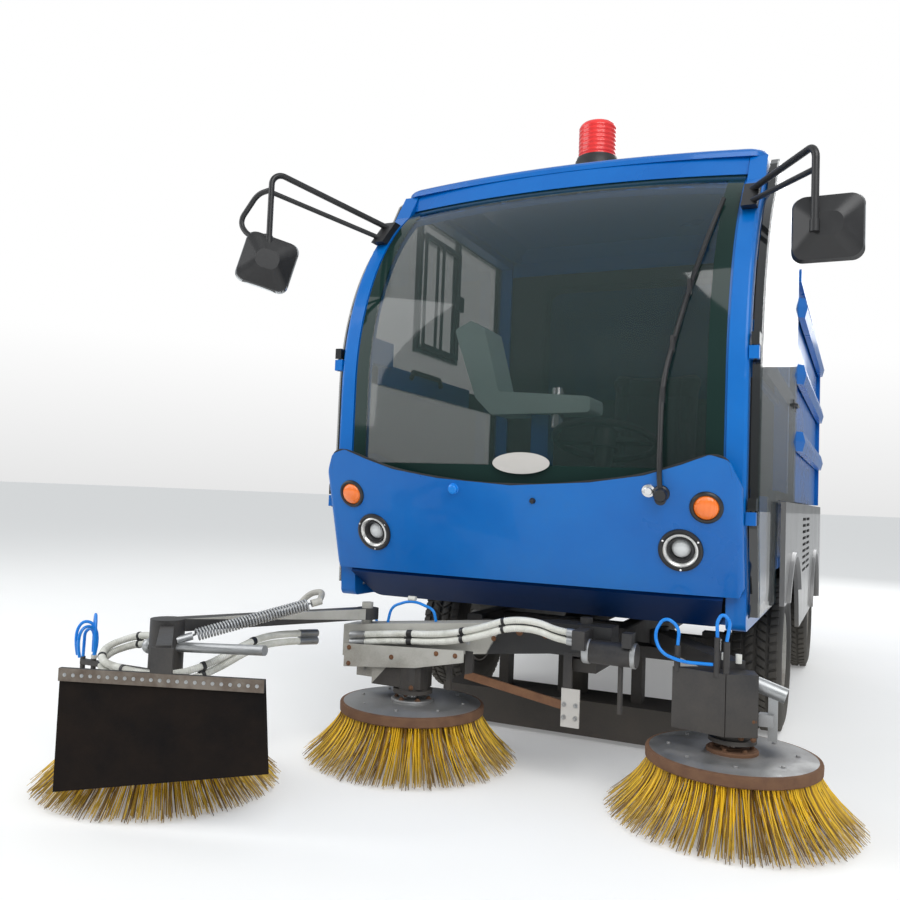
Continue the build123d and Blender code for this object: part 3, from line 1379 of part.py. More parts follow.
# What the outer arm carries: its coil spring as one plain roll, a pair of white hoses and a water tube
with BuildPart() as spring_outer:
    Cylinder(spring_radius, spring_length, align=(Align.CENTER, Align.CENTER, Align.MIN))
save(spring_outer.part.moved(spring_place), "spring_outer")
hose_outer_route = (
    (-937, -612, 428),
    (-1020, -592, 425),
    (-1092, -590, 410),
    (-1136, -652, 384),
    (-1090, -716, 352),
    (-985, -728, 342),
    (-880, -730, 340),
    (-790, -700, 345),
    (-735, -610, 372),
    (-722, -450, 419),
    (-716, -300, 425),
    (-672, -150, 412),
)
with BuildPart() as hose_outer:
    for row in (0, 1):
        route = [(x, y, z - row * hose_pitch) for x, y, z in hose_outer_route]
        add(hose(route, hose_outside))
    with Locations((-985, -728, 329)):
        Box(16, 16, 54)
    arm_low_z = outer_arm_z - outer_arm_height / 2
    with Locations((-743, -450, arm_low_z - 0.2)):
        Box(54, 16, 76, align=(Align.CENTER, Align.CENTER, Align.MAX))
save(hose_outer.part, "hose_outer")
tube_outer_route = (
    (nozzle_xs[0], outer_brush[1], nozzle_bar_z + 16.3),
    (nozzle_xs[0] + 2, outer_brush[1], nozzle_bar_z + 74),
    (nozzle_xs[0] - 14, outer_brush[1], nozzle_bar_z + 112),
    (nozzle_xs[1] + 2, outer_brush[1], nozzle_bar_z + 96),
    (nozzle_xs[1], outer_brush[1], nozzle_bar_z + 16.3),
)
save(hose(tube_outer_route, tube_radius_small), "tube_outer")

# Suction nozzle behind the brushes, hung from the rails, and its hose to the hopper
nozzle_half_width = 500.0
nozzle_front_y = 540.0
nozzle_rear_y = 755.0
nozzle_low_z = 18.0
nozzle_high_z = 150.0
nozzle_mid_y = (nozzle_front_y + nozzle_rear_y) / 2
hanger_high_z = rail_z - rail_height / 2
with BuildPart() as suction_nozzle:
    with Locations((0, nozzle_mid_y, (nozzle_low_z + nozzle_high_z) / 2)):
        Box(2 * nozzle_half_width, nozzle_rear_y - nozzle_front_y, nozzle_high_z - nozzle_low_z)
    with Locations((0, nozzle_mid_y, (nozzle_low_z + nozzle_high_z) / 2 - 10)):
        Box(
            2 * nozzle_half_width - 20,
            nozzle_rear_y - nozzle_front_y - 20,
            nozzle_high_z - nozzle_low_z,
            mode=Mode.SUBTRACT,
        )
    with Locations((0, hose_foot_y, nozzle_high_z)):
        Cylinder(hose_radius - 6, 40, mode=Mode.SUBTRACT)
    for side in (-1, 1):
        with Locations((side * rail_half_gap, 650, (nozzle_high_z + hanger_high_z) / 2)):
            Box(40, 60, hanger_high_z - nozzle_high_z)
save(suction_nozzle.part, "suction_nozzle")
hose_run_z = rail_z + 25.0
with BuildPart() as suction_hose:
    with BuildLine():
        FilletPolyline(
            (0, hose_foot_y, nozzle_high_z),
            (0, hose_foot_y, hose_run_z),
            (0, hose_head_y, hose_run_z),
            (0, hose_head_y, hopper_floor_z - 7),
            radius=120,
        )
    with BuildSketch(Plane.XY.offset(nozzle_high_z)):
        with Locations((0, hose_foot_y)):
            Circle(hose_radius)
            Circle(hose_radius - 6, mode=Mode.SUBTRACT)
    sweep()
save(suction_hose.part, "suction_hose")

# Inside the cab: the console on its post, the seat, the steering wheel
deck_in_cab_z = cab_floor_z + floor_thickness
post_x = -105.0
console_y = 520.0
with BuildPart() as console:
    with Locations((post_x, console_y, (deck_in_cab_z + deck_in_cab_z + 684) / 2)):
        Box(70, 70, 684)
    with Locations((post_x, console_y, deck_in_cab_z + 8)):
        Box(150, 150, 16)
    with BuildSketch(Plane.XZ.offset(-console_y - 90)) as console_side:
        with BuildLine():
            Polyline(
                (-460, deck_in_cab_z + 1000),
                (-390, deck_in_cab_z + 1034),
                (-330, deck_in_cab_z + 1000),
                (-262, deck_in_cab_z + 748),
                (110, deck_in_cab_z + 724),
                (110, deck_in_cab_z + 664),
                (-290, deck_in_cab_z + 656),
                (-360, deck_in_cab_z + 724),
                close=True,
            )
        make_face()
        fillet(console_side.vertices(), 16)
    extrude(amount=180)
save(console.part, "console")
seat_x = 150.0
seat_y = 1130.0
seat_rise = arch_step_z
cushion_z = seat_rise + 250.0
with BuildPart() as seat_base:
    with Locations((seat_x, seat_y, seat_rise + 30)):
        Box(420, 420, 60)
    with Locations((seat_x, seat_y, seat_rise + 105)):
        Box(330, 330, 130)
    with Locations((seat_x, seat_y, seat_rise + 180)):
        Box(440, 430, 40)
save(seat_base.part, "seat_base")
with BuildPart() as seat:
    with BuildSketch(Plane.XY.offset(seat_rise + 200)):
        with Locations((seat_x, seat_y)):
            RectangleRounded(480, 470, 60)
    extrude(amount=110)
    fillet(seat.edges().group_by(Axis.Z)[-1], 30)
    back_place = Location((seat_x, seat_y + 195, seat_rise + 260), (-8, 0, 0))
    with BuildSketch(Plane(back_place)):
        RectangleRounded(460, 100, 36)
    extrude(amount=590)
save(seat.part, "seat")
column_lean = 18.0
column_y = 330.0
column_length = 590.0
column_place = Location((seat_x, column_y, deck_in_cab_z), (-column_lean, 0, 0))
with BuildPart() as steering_column:
    with Locations((seat_x, column_y + 4, deck_in_cab_z + 10)):
        Box(110, 110, 20)
    with Locations(column_place * Location((0, 0, 14))):
        Cylinder(35, column_length - 30, align=(Align.CENTER, Align.CENTER, Align.MIN))
    with Locations(column_place * Location((0, 0, column_length))):
        Torus(190, 14)
        Box(380, 40, 20)
        Cylinder(50, 70)
save(steering_column.part, "steering_column")

# Mirrors: a block on the door pillar, two bent rails, and a domed head that hangs on them
tube_radius = 11.0
mirror_root_z = 1964.0
mirror_low_root_z = 1907.0
mirror_block = (1884.0, 1990.0)
mirrors = (
    # name, side, bend, height of the rail's low end, height of the lower join, head middle, head swing, head roll
    ("mirror_left", 1, (904.0, -70.0, 1962.0), 1722.0, 1890.0, (937.0, -26.0, 1729.0), 0.0, 0.0),
    ("mirror_right", -1, (962.0, -150.0, 2085.0), 1822.0, 2004.0, (968.0, -146.0, 1745.0), 37.0, 15.0),
)
for mirror_name, side, bend, low_end_z, join_z, head_middle, head_swing, head_roll in mirrors:
    root_x = side * (cab_half_width - 30)
    start = (root_x, face_back_y(mirror_root_z) - 30, mirror_root_z)
    rail_bend = (side * bend[0], bend[1], bend[2])
    rail_end = (side * bend[0], bend[1], low_end_z)
    stay_start = (root_x, face_back_y(mirror_low_root_z) - 24, mirror_low_root_z)
    stay_end = (side * bend[0], bend[1], join_z)
    swing = math.radians(head_swing)
    roll = math.radians(head_roll)
    head_back = Vector(math.sin(swing), -math.cos(swing), 0)
    head_across = Vector(math.cos(swing) * math.cos(roll), math.sin(swing) * math.cos(roll), -math.sin(roll))
    head_plane = Plane(
        origin=(side * head_middle[0], head_middle[1], head_middle[2]),
        x_dir=head_across,
        z_dir=head_back,
    )
    with BuildPart() as mirror:
        with BuildLine():
            FilletPolyline(start, rail_bend, rail_end, radius=40)
        with BuildSketch(Plane(origin=start, z_dir=(Vector(*rail_bend) - Vector(*start)))):
            Circle(tube_radius)
        sweep()
        with Locations(rod_place(stay_start, stay_end)):
            Cylinder(9, gap_between(stay_start, stay_end), align=(Align.CENTER, Align.CENTER, Align.MIN))
        with BuildSketch(head_plane.offset(-20)):
            RectangleRounded(200, 198, 34)
        with BuildSketch(head_plane.offset(2)):
            RectangleRounded(190, 188, 36)
        with BuildSketch(head_plane.offset(38)):
            RectangleRounded(86, 70, 30)
        loft(ruled=True)
        with BuildSketch(head_plane.offset(-20)):
            RectangleRounded(182, 180, 26)
        extrude(amount=5, mode=Mode.SUBTRACT)
        with Locations(rail_end):
            Cylinder(tube_radius + 3, 34)
        if side < 0:
            loop_x = rail_bend[0]
            loop_y = rail_bend[1]
            loop_points = (
                (loop_x, loop_y, 2014),
                (loop_x - 62, loop_y, 2004),
                (loop_x - 142, loop_y, 1905),
                (loop_x - 96, loop_y, 1846),
                (loop_x, loop_y, 1838),
            )
            add(hose(loop_points, tube_radius - 1))
        with BuildSketch(Plane.YZ.offset(root_x - 25)):
            with BuildLine():
                Polyline(
                    (face_back_y(mirror_block[0]) - 0.3, mirror_block[0]),
                    (face_back_y(mirror_block[0]) - 44, mirror_block[0]),
                    (face_back_y(mirror_block[1]) - 44, mirror_block[1]),
                    (face_back_y(mirror_block[1]) - 0.3, mirror_block[1]),
                )
                ThreePointArc(
                    (face_back_y(mirror_block[1]) - 0.3, mirror_block[1]),
                    (face_back_y(mirror_root_z) - 0.3, mirror_root_z),
                    (face_back_y(mirror_block[0]) - 0.3, mirror_block[0]),
                )
            make_face()
        extrude(amount=50)
    save(mirror.part, mirror_name)

# Wiper: a spindle in the nose's top edge and an arm that follows the bend of the windscreen
wiper_x = 486.0
wiper_root_z = 925.0
wiper_route = (
    (wiper_x, nose_front_y(wiper_x, wiper_root_z) - 16, wiper_root_z + 4),
    (484, -100, 1005),
    (478, -62, 1262),
    (500, -26, 1400),
    (540, 30, 1600),
    (575, 106, 1765),
    (606, 226, 1930),
)
with BuildPart() as wiper:
    add(hose(wiper_route, 8.0))
    with Locations(lamp_plane(wiper_x, wiper_root_z).location * Location((0, 0, 0.4))):
        Cylinder(17, 26, align=(Align.CENTER, Align.CENTER, Align.MIN))
save(wiper.part, "wiper")

# Rear bumper with its lamps, hung from the rails' ends
bumper_y = hopper_rear_y - 5.0
bumper_z = rail_z + 85.0
bumper_depth = 70.0
bumper_height = 150.0
lamp_x = hopper_half_width - 145.0
lamp_width = 190.0
lamp_height = 90.0
lamp_depth = 12.0
with BuildPart() as rear_bumper:
    with BuildSketch(Plane.YZ.offset(-hopper_half_width - 15)):
        with Locations((bumper_y, bumper_z)):
            RectangleRounded(bumper_depth, bumper_height, 12)
    extrude(amount=2 * hopper_half_width + 30)
    for side in (-1, 1):
        with Locations((side * lamp_x, bumper_y + bumper_depth / 2 - lamp_depth / 2, bumper_z)):
            Box(lamp_width, lamp_depth, lamp_height, mode=Mode.SUBTRACT)
        with Locations((side * rail_half_gap, rail_rear_y + 10, rail_z)):
            Box(rail_width, 20, rail_height)
save(rear_bumper.part, "rear_bumper")
with BuildPart() as rear_lamps:
    for side in (-1, 1):
        with BuildSketch(Plane.XZ.offset(-(bumper_y + bumper_depth / 2 - lamp_depth))):
            with Locations((side * lamp_x, bumper_z)):
                RectangleRounded(lamp_width - 2 * lamp_play, lamp_height - 2 * lamp_play, 8)
        extrude(amount=-lamp_depth - 10, taper=4)
save(rear_lamps.part, "rear_lamps")
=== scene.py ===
import math
import bmesh
import bpy
from mathutils import Matrix, Vector


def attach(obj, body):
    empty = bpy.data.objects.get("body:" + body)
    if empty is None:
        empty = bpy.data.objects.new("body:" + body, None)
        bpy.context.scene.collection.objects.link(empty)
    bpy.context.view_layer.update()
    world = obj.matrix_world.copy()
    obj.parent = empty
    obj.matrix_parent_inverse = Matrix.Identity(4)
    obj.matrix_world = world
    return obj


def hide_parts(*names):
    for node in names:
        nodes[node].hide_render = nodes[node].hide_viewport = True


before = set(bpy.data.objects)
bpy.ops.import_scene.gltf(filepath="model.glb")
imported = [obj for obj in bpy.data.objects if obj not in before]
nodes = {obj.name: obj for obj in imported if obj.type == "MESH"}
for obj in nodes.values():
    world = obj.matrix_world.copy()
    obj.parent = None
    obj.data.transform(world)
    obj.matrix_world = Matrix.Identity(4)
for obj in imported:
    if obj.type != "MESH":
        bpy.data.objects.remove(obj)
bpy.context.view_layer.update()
scene = bpy.context.scene
print("frame loaded", len(nodes))


# Places are written in the source's millimetres; the saved frame lies this far from them
frameShift = Vector((0.091, -1.45, 0.0))


def at(x, y, z):
    return Vector((x, y, z)) / 1000 + frameShift


def newObject(name, data):
    made = bpy.data.objects.new(name, data)
    scene.collection.objects.link(made)
    return made


def evaluatedMesh(source):
    return bpy.data.meshes.new_from_object(source.evaluated_get(bpy.context.evaluated_depsgraph_get()))


def rampNode(tree, stops):
    node = tree.nodes.new("ShaderNodeValToRGB")
    elements = node.color_ramp.elements
    for element, (position, colour) in ((elements[0], stops[0]), (elements[1], stops[-1])):
        element.position = position
        element.color = (*colour, 1)
    for position, colour in stops[1:-1]:
        elements.new(position).color = (*colour, 1)
    return node


# Camera, light and ground
cameraAxes = (
    (0.90523964, 0.42304773, 0.03964616),
    (-0.01311485, -0.06544338, 0.9977701),
    (0.42469895, -0.90374099, -0.05369373),
)
cameraPlace = (1.13204, -4.21661, 0.9)
cameraData = bpy.data.cameras.new("camera")
cameraData.sensor_width = 36
cameraData.lens = 35.298
camera = newObject("camera", cameraData)
turnMatrix = Matrix(cameraAxes).transposed().to_4x4()
camera.matrix_world = Matrix.Translation(cameraPlace) @ turnMatrix
scene.camera = camera
scene.view_settings.view_transform = "Standard"

world = bpy.data.worlds.new("studio")
scene.world = world
world.use_nodes = True
worldTree = world.node_tree
worldNodes = worldTree.nodes
worldNodes.clear()
worldOut = worldNodes.new("ShaderNodeOutputWorld")
seenWhite = worldNodes.new("ShaderNodeBackground")
seenRamp = rampNode(worldTree, ((0.5, (0.8, 0.8, 0.8)), (0.58, (1, 1, 1))))
skyLight = worldNodes.new("ShaderNodeBackground")
skyLight.inputs["Strength"].default_value = 0.62
skyRamp = rampNode(worldTree, ((0.46, (0.2, 0.21, 0.2)), (0.62, (0.82, 0.86, 0.9)), (1.0, (0.95, 0.98, 1.0))))
skyCoords = worldNodes.new("ShaderNodeTexCoord")
skySplit = worldNodes.new("ShaderNodeSeparateXYZ")
skyRange = worldNodes.new("ShaderNodeMapRange")
skyRange.inputs["From Min"].default_value = -1
worldMix = worldNodes.new("ShaderNodeMixShader")
lightPath = worldNodes.new("ShaderNodeLightPath")
for fromSocket, toSocket in (
    (skyCoords.outputs["Generated"], skySplit.inputs[0]),
    (skySplit.outputs["Z"], skyRange.inputs["Value"]),
    (skyRange.outputs["Result"], skyRamp.inputs["Fac"]),
    (skyRange.outputs["Result"], seenRamp.inputs["Fac"]),
    (seenRamp.outputs["Color"], seenWhite.inputs["Color"]),
    (skyRamp.outputs["Color"], skyLight.inputs["Color"]),
    (lightPath.outputs["Is Camera Ray"], worldMix.inputs["Fac"]),
    (skyLight.outputs[0], worldMix.inputs[1]),
    (seenWhite.outputs[0], worldMix.inputs[2]),
    (worldMix.outputs[0], worldOut.inputs["Surface"]),
):
    worldTree.links.new(fromSocket, toSocket)

studioLights = (
    # name, place, aim, size, watts
    ("keyLight", (3.5, -5.5, 6.0), (0, 0, 1.0), 5.0, 300),
    ("fillLight", (-6.0, -4.0, 4.0), (0, 0, 1.0), 5.0, 170),
    ("backLight", (1.0, 7.0, 5.0), (0, 0, 1.2), 5.0, 200),
)
for lampName, lampPlace, lampAim, lampSize, lampPower in studioLights:
    lampData = bpy.data.lights.new(lampName, "AREA")
    lampData.size = lampSize
    lampData.energy = lampPower
    lamp = newObject(lampName, lampData)
    lamp.location = lampPlace
    lamp.rotation_euler = (Vector(lampAim) - Vector(lampPlace)).to_track_quat("-Z", "Y").to_euler()
print("camera and light")


# Shared shader groups: they give masks and normals only
def newGroup(name, inputs, outputs):
    tree = bpy.data.node_groups.new(name, "ShaderNodeTree")
    for label, value in inputs:
        socket = tree.interface.new_socket(label, in_out="INPUT", socket_type="NodeSocketFloat")
        socket.default_value = value
    for label, kind in outputs:
        tree.interface.new_socket(label, in_out="OUTPUT", socket_type=kind)
    start = tree.nodes.new("NodeGroupInput")
    end = tree.nodes.new("NodeGroupOutput")
    return tree, start, end


def mathNode(tree, operation, a, b=None, clamp=False):
    node = tree.nodes.new("ShaderNodeMath")
    node.operation = operation
    node.use_clamp = clamp
    for place, value in ((0, a), (1, b)):
        if value is None:
            continue
        if isinstance(value, (int, float)):
            node.inputs[place].default_value = value
        else:
            tree.links.new(value, node.inputs[place])
    return node.outputs[0]


def objectCoords(tree):
    return tree.nodes.new("ShaderNodeTexCoord").outputs["Object"]


def waveNode(tree, coords, scale, distortion, direction="X"):
    node = tree.nodes.new("ShaderNodeTexWave")
    node.bands_direction = direction
    node.inputs["Scale"].default_value = scale
    node.inputs["Distortion"].default_value = distortion
    tree.links.new(coords, node.inputs["Vector"])
    return node.outputs["Fac"]


def addBump(tree, height, distance, shader):
    bump = tree.nodes.new("ShaderNodeBump")
    bump.inputs["Distance"].default_value = distance
    tree.links.new(height, bump.inputs["Height"])
    tree.links.new(bump.outputs["Normal"], shader.inputs["Normal"])


def noiseNode(tree, coords, scale, detail=4.0, roughness=0.55):
    node = tree.nodes.new("ShaderNodeTexNoise")
    node.inputs["Detail"].default_value = detail
    node.inputs["Roughness"].default_value = roughness
    tree.links.new(coords, node.inputs["Vector"])
    if isinstance(scale, (int, float)):
        node.inputs["Scale"].default_value = scale
    else:
        tree.links.new(scale, node.inputs["Scale"])
    return node.outputs["Fac"]


grimeTree, grimeIn, grimeOut = newGroup(
    "grimeMask",
    (("Low", 0.0), ("High", 0.6), ("Scale", 4.0), ("Amount", 0.5)),
    (("Grime", "NodeSocketFloat"), ("Blotch", "NodeSocketFloat"), ("Fine", "NodeSocketFloat")),
)
grimeCoords = objectCoords(grimeTree)
grimeSplit = grimeTree.nodes.new("ShaderNodeSeparateXYZ")
grimeTree.links.new(grimeCoords, grimeSplit.inputs[0])
grimeRange = grimeTree.nodes.new("ShaderNodeMapRange")
grimeTree.links.new(grimeSplit.outputs["Z"], grimeRange.inputs["Value"])
grimeTree.links.new(grimeIn.outputs["Low"], grimeRange.inputs["From Min"])
grimeTree.links.new(grimeIn.outputs["High"], grimeRange.inputs["From Max"])
grimeRange.inputs["To Min"].default_value = 1.0
grimeRange.inputs["To Max"].default_value = 0.0
blotchNoise = noiseNode(grimeTree, grimeCoords, grimeIn.outputs["Scale"], 5.0, 0.6)
fineNoise = noiseNode(grimeTree, grimeCoords,
                      mathNode(grimeTree, "MULTIPLY", grimeIn.outputs["Scale"], 22.0), 3.0, 0.7)
grimeSum = mathNode(grimeTree, "ADD", grimeRange.outputs["Result"], blotchNoise)
grimeSum = mathNode(grimeTree, "ADD", grimeSum, mathNode(grimeTree, "MULTIPLY", fineNoise, 0.5))
grimeSum = mathNode(grimeTree, "SUBTRACT", grimeSum, 0.82)
grimeSum = mathNode(grimeTree, "MULTIPLY", grimeSum, grimeIn.outputs["Amount"], clamp=True)
grimeTree.links.new(grimeSum, grimeOut.inputs["Grime"])
grimeTree.links.new(blotchNoise, grimeOut.inputs["Blotch"])
grimeTree.links.new(fineNoise, grimeOut.inputs["Fine"])

reliefTree, reliefIn, reliefOut = newGroup(
    "fineRelief",
    (("Scale", 60.0), ("Depth", 0.0005)),
    (("Normal", "NodeSocketVector"),),
)
reliefCoords = objectCoords(reliefTree)
reliefNoise = noiseNode(reliefTree, reliefCoords, reliefIn.outputs["Scale"], 3.0, 0.6)
reliefBump = reliefTree.nodes.new("ShaderNodeBump")
reliefTree.links.new(reliefNoise, reliefBump.inputs["Height"])
reliefTree.links.new(reliefIn.outputs["Depth"], reliefBump.inputs["Distance"])
reliefTree.links.new(reliefBump.outputs["Normal"], reliefOut.inputs["Normal"])


def newMaterial(name):
    material = bpy.data.materials.new(name)
    material.use_nodes = True
    tree = material.node_tree
    return material, tree, tree.nodes["Principled BSDF"]


def groupNode(tree, group, **values):
    node = tree.nodes.new("ShaderNodeGroup")
    node.node_tree = group
    for label, value in values.items():
        node.inputs[label].default_value = value
    return node


def mixColours(tree, factor, a, b):
    node = tree.nodes.new("ShaderNodeMix")
    node.data_type = "RGBA"
    for place, value in ((0, factor), (6, a), (7, b)):
        if isinstance(value, (int, float)):
            node.inputs[place].default_value = value
        elif isinstance(value, tuple):
            node.inputs[place].default_value = (*value, 1)
        else:
            tree.links.new(value, node.inputs[place])
    return node.outputs[2]


def rangeNode(tree, value, low, high, outLow=0.0, outHigh=1.0):
    node = tree.nodes.new("ShaderNodeMapRange")
    tree.links.new(value, node.inputs["Value"])
    for label, number in (("From Min", low), ("From Max", high), ("To Min", outLow), ("To Max", outHigh)):
        node.inputs[label].default_value = number
    return node.outputs["Result"]


# Painted, moulded and bare surfaces, all with blotches, grime from the road and a fine relief
finishes = {
    # name: colour, second colour, grime colour, roughness, metallic, coat,
    # grime top, grime amount, scale, relief scale, relief depth
    "bluePaint": ((0.0, 0.115, 0.44), (0.0, 0.15, 0.52), (0.05, 0.12, 0.2), 0.3, 0.0, 0.2, 0.75, 0.35, 1.6,
                  90, 0.00004),
    "blueFrame": ((0.0, 0.12, 0.45), (0.0, 0.155, 0.54), (0.05, 0.1, 0.17), 0.3, 0.0, 0.2, 0.75, 0.3, 1.6,
                  90, 0.00004),
    # the blue paint darkened: painted shade for the lower skirt, which lies in shadow under the cab
    "bluePaintedShade": ((0.0, 0.018, 0.09), (0.0, 0.028, 0.12), (0.02, 0.025, 0.03), 0.45, 0.0, 0.0, 0.62, 0.5, 2.0,
                 90, 0.00004),
    "greyPaint": ((0.15, 0.15, 0.152), (0.19, 0.19, 0.192), (0.2, 0.18, 0.15), 0.38, 0.2, 0.4, 0.62, 0.8,
                  2.2, 120, 0.00006),
    "blackSteel": ((0.02, 0.02, 0.022), (0.035, 0.034, 0.034), (0.11, 0.095, 0.08), 0.45, 0.0, 0.0, 0.62,
                   0.7, 6.0, 160, 0.0002),
    "blackPlastic": ((0.012, 0.012, 0.013), (0.02, 0.02, 0.021), (0.09, 0.085, 0.08), 0.38, 0.0, 0.0, 0.45,
                     0.4, 7.0, 420, 0.0001),
    "greyPlastic": ((0.6, 0.78, 0.72), (0.66, 0.84, 0.78), (0.2, 0.19, 0.17), 0.5, 0.0, 0.0, 0.3, 0.2, 4.0,
                    380, 0.00015),
    "darkPlastic": ((0.03, 0.032, 0.034), (0.045, 0.046, 0.047), (0.1, 0.095, 0.09), 0.55, 0.0, 0.0, 0.75,
                    0.3, 5.0, 300, 0.0002),
    "beamPale": ((0.5, 0.49, 0.45), (0.42, 0.41, 0.37), (0.16, 0.13, 0.1), 0.5, 0.1, 0.0, 0.42, 1.0, 9.0,
                 140, 0.0002),
    "galvanised": ((0.4, 0.41, 0.41), (0.5, 0.51, 0.52), (0.16, 0.12, 0.09), 0.42, 0.85, 0.0, 0.4, 0.6, 14.0,
                   200, 0.00015),
    "chrome": ((0.75, 0.75, 0.75), (0.7, 0.7, 0.7), (0.2, 0.18, 0.16), 0.16, 1.0, 0.0, 0.2, 0.2, 10.0, 200,
               0.00002),
    "rimPaint": ((0.5, 0.5, 0.48), (0.42, 0.42, 0.4), (0.15, 0.11, 0.08), 0.42, 0.2, 0.0, 0.5, 0.9, 9.0, 120,
                 0.0001),
    "rubber": ((0.016, 0.016, 0.016), (0.028, 0.027, 0.026), (0.11, 0.1, 0.085), 0.72, 0.0, 0.0, 0.5, 0.9,
               9.0, 240, 0.0003),
    "rustySteel": ((0.16, 0.07, 0.035), (0.28, 0.13, 0.06), (0.12, 0.1, 0.08), 0.78, 0.3, 0.0, 0.5, 0.6,
                   24.0, 260, 0.0004),
    "hoseWhite": ((0.78, 0.78, 0.73), (0.64, 0.64, 0.58), (0.2, 0.18, 0.15), 0.5, 0.0, 0.0, 0.45, 0.7, 20.0,
                  300, 0.0001),
    "tubeBlue": ((0.0, 0.2, 0.72), (0.01, 0.26, 0.8), (0.1, 0.14, 0.2), 0.3, 0.0, 0.0, 0.3, 0.3, 20.0, 300,
                 0.00005),
    "mirrorGlass": ((0.75, 0.78, 0.8), (0.72, 0.75, 0.77), (0.3, 0.3, 0.3), 0.04, 1.0, 0.0, 0.1, 0.0, 2.0,
                    20, 0.00001),
    "stickerWhite": ((0.5, 0.48, 0.45), (0.54, 0.52, 0.49), (0.4, 0.38, 0.35), 0.5, 0.0, 0.0, 0.1, 0.1, 12.0,
                     200, 0.00002),
    "flapRubber": ((0.006, 0.005, 0.005), (0.014, 0.01, 0.008), (0.03, 0.02, 0.015), 0.7, 0.0, 0.0, 0.3, 0.2,
                   7.0, 200, 0.0003),
    "stripBrown": ((0.2, 0.17, 0.14), (0.12, 0.09, 0.07), (0.1, 0.075, 0.055), 0.6, 0.2, 0.0, 0.5, 0.7, 20.0,
                   200, 0.0003),
    "lampSilver": ((0.72, 0.72, 0.7), (0.8, 0.8, 0.78), (0.3, 0.28, 0.25), 0.25, 0.6, 0.3, 0.2, 0.2, 10.0,
                   200, 0.00003),
}
materials = {}
for finishName, finish in finishes.items():
    colour, second, grimeColour, rough, metal, coat = finish[:6]
    grimeTop, grimeAmount, scale, reliefScale, reliefDepth = finish[6:]
    material, tree, shader = newMaterial(finishName)
    masks = groupNode(tree, grimeTree, High=grimeTop, Scale=scale, Amount=grimeAmount)
    spread = rangeNode(tree, masks.outputs["Blotch"], 0.35, 0.65)
    base = mixColours(tree, spread, colour, second)
    base = mixColours(tree, masks.outputs["Grime"], base, grimeColour)
    tree.links.new(base, shader.inputs["Base Color"])
    cleanRough = rangeNode(tree, masks.outputs["Blotch"], 0.3, 0.7, max(rough - 0.06, 0.02), rough + 0.08)
    dirtyRough = mathNode(tree, "MULTIPLY", masks.outputs["Grime"], 0.45)
    tree.links.new(mathNode(tree, "ADD", cleanRough, dirtyRough, clamp=True), shader.inputs["Roughness"])
    relief = groupNode(tree, reliefTree, Scale=reliefScale, Depth=reliefDepth)
    tree.links.new(relief.outputs["Normal"], shader.inputs["Normal"])
    shader.inputs["Metallic"].default_value = metal
    shader.inputs["Coat Weight"].default_value = coat
    shader.inputs["Coat Roughness"].default_value = 0.06
    if finishName.startswith("blue"):
        shader.inputs["Specular IOR Level"].default_value = 0.3
    if finishName in ("flapRubber", "bluePaintedShade"):
        shader.inputs["Specular IOR Level"].default_value = 0.1
    materials[finishName] = material


# Tinted glass, clear enough to see the cab through; the windscreen has a black band along its edges
glasses = {
    # name: colour, alpha, roughness
    "glassTint": ((0.008, 0.022, 0.019), 0.42, 0.03),
    "glassSide": ((0.015, 0.03, 0.027), 0.42, 0.03),
    "glassRear": ((0.02, 0.035, 0.03), 0.35, 0.03),
    "glassBlack": ((0.008, 0.009, 0.009), 1.0, 0.03),
}
for glassName, (colour, alpha, rough) in glasses.items():
    material, tree, shader = newMaterial(glassName)
    masks = groupNode(tree, grimeTree, High=0.2, Scale=1.3, Amount=0.1)
    tree.links.new(mixColours(tree, masks.outputs["Blotch"], colour, tuple(c * 1.7 for c in colour)),
                   shader.inputs["Base Color"])
    tree.links.new(rangeNode(tree, masks.outputs["Fine"], 0.3, 0.8, rough, rough + 0.05),
                   shader.inputs["Roughness"])
    shader.inputs["Alpha"].default_value = alpha
    if glassName == "glassTint":
        split = tree.nodes.new("ShaderNodeSeparateXYZ")
        tree.links.new(objectCoords(tree), split.inputs[0])
        fromMiddle = mathNode(tree, "ABSOLUTE", mathNode(tree, "SUBTRACT", split.outputs["X"], frameShift.x))
        sideBand = rangeNode(tree, fromMiddle, 0.6, 0.603)
        topBand = rangeNode(tree, split.outputs["Z"], 2.036, 2.04)
        lowBand = rangeNode(tree, split.outputs["Z"], 1.018, 1.014)
        band = mathNode(tree, "MAXIMUM", mathNode(tree, "MAXIMUM", sideBand, topBand), lowBand)
        tree.links.new(rangeNode(tree, band, 0, 1, alpha, 1.0), shader.inputs["Alpha"])
        tree.links.new(rangeNode(tree, band, 0, 1, 0.75, 0.2), shader.inputs["Specular IOR Level"])
        tree.links.new(rangeNode(tree, band, 0, 1, 0.5, 0.0), shader.inputs["Coat Weight"])
    shader.inputs["Specular IOR Level"].default_value = 0.75
    shader.inputs["Coat Weight"].default_value = 0.5
    shader.inputs["Coat Roughness"].default_value = 0.02
    materials[glassName] = material


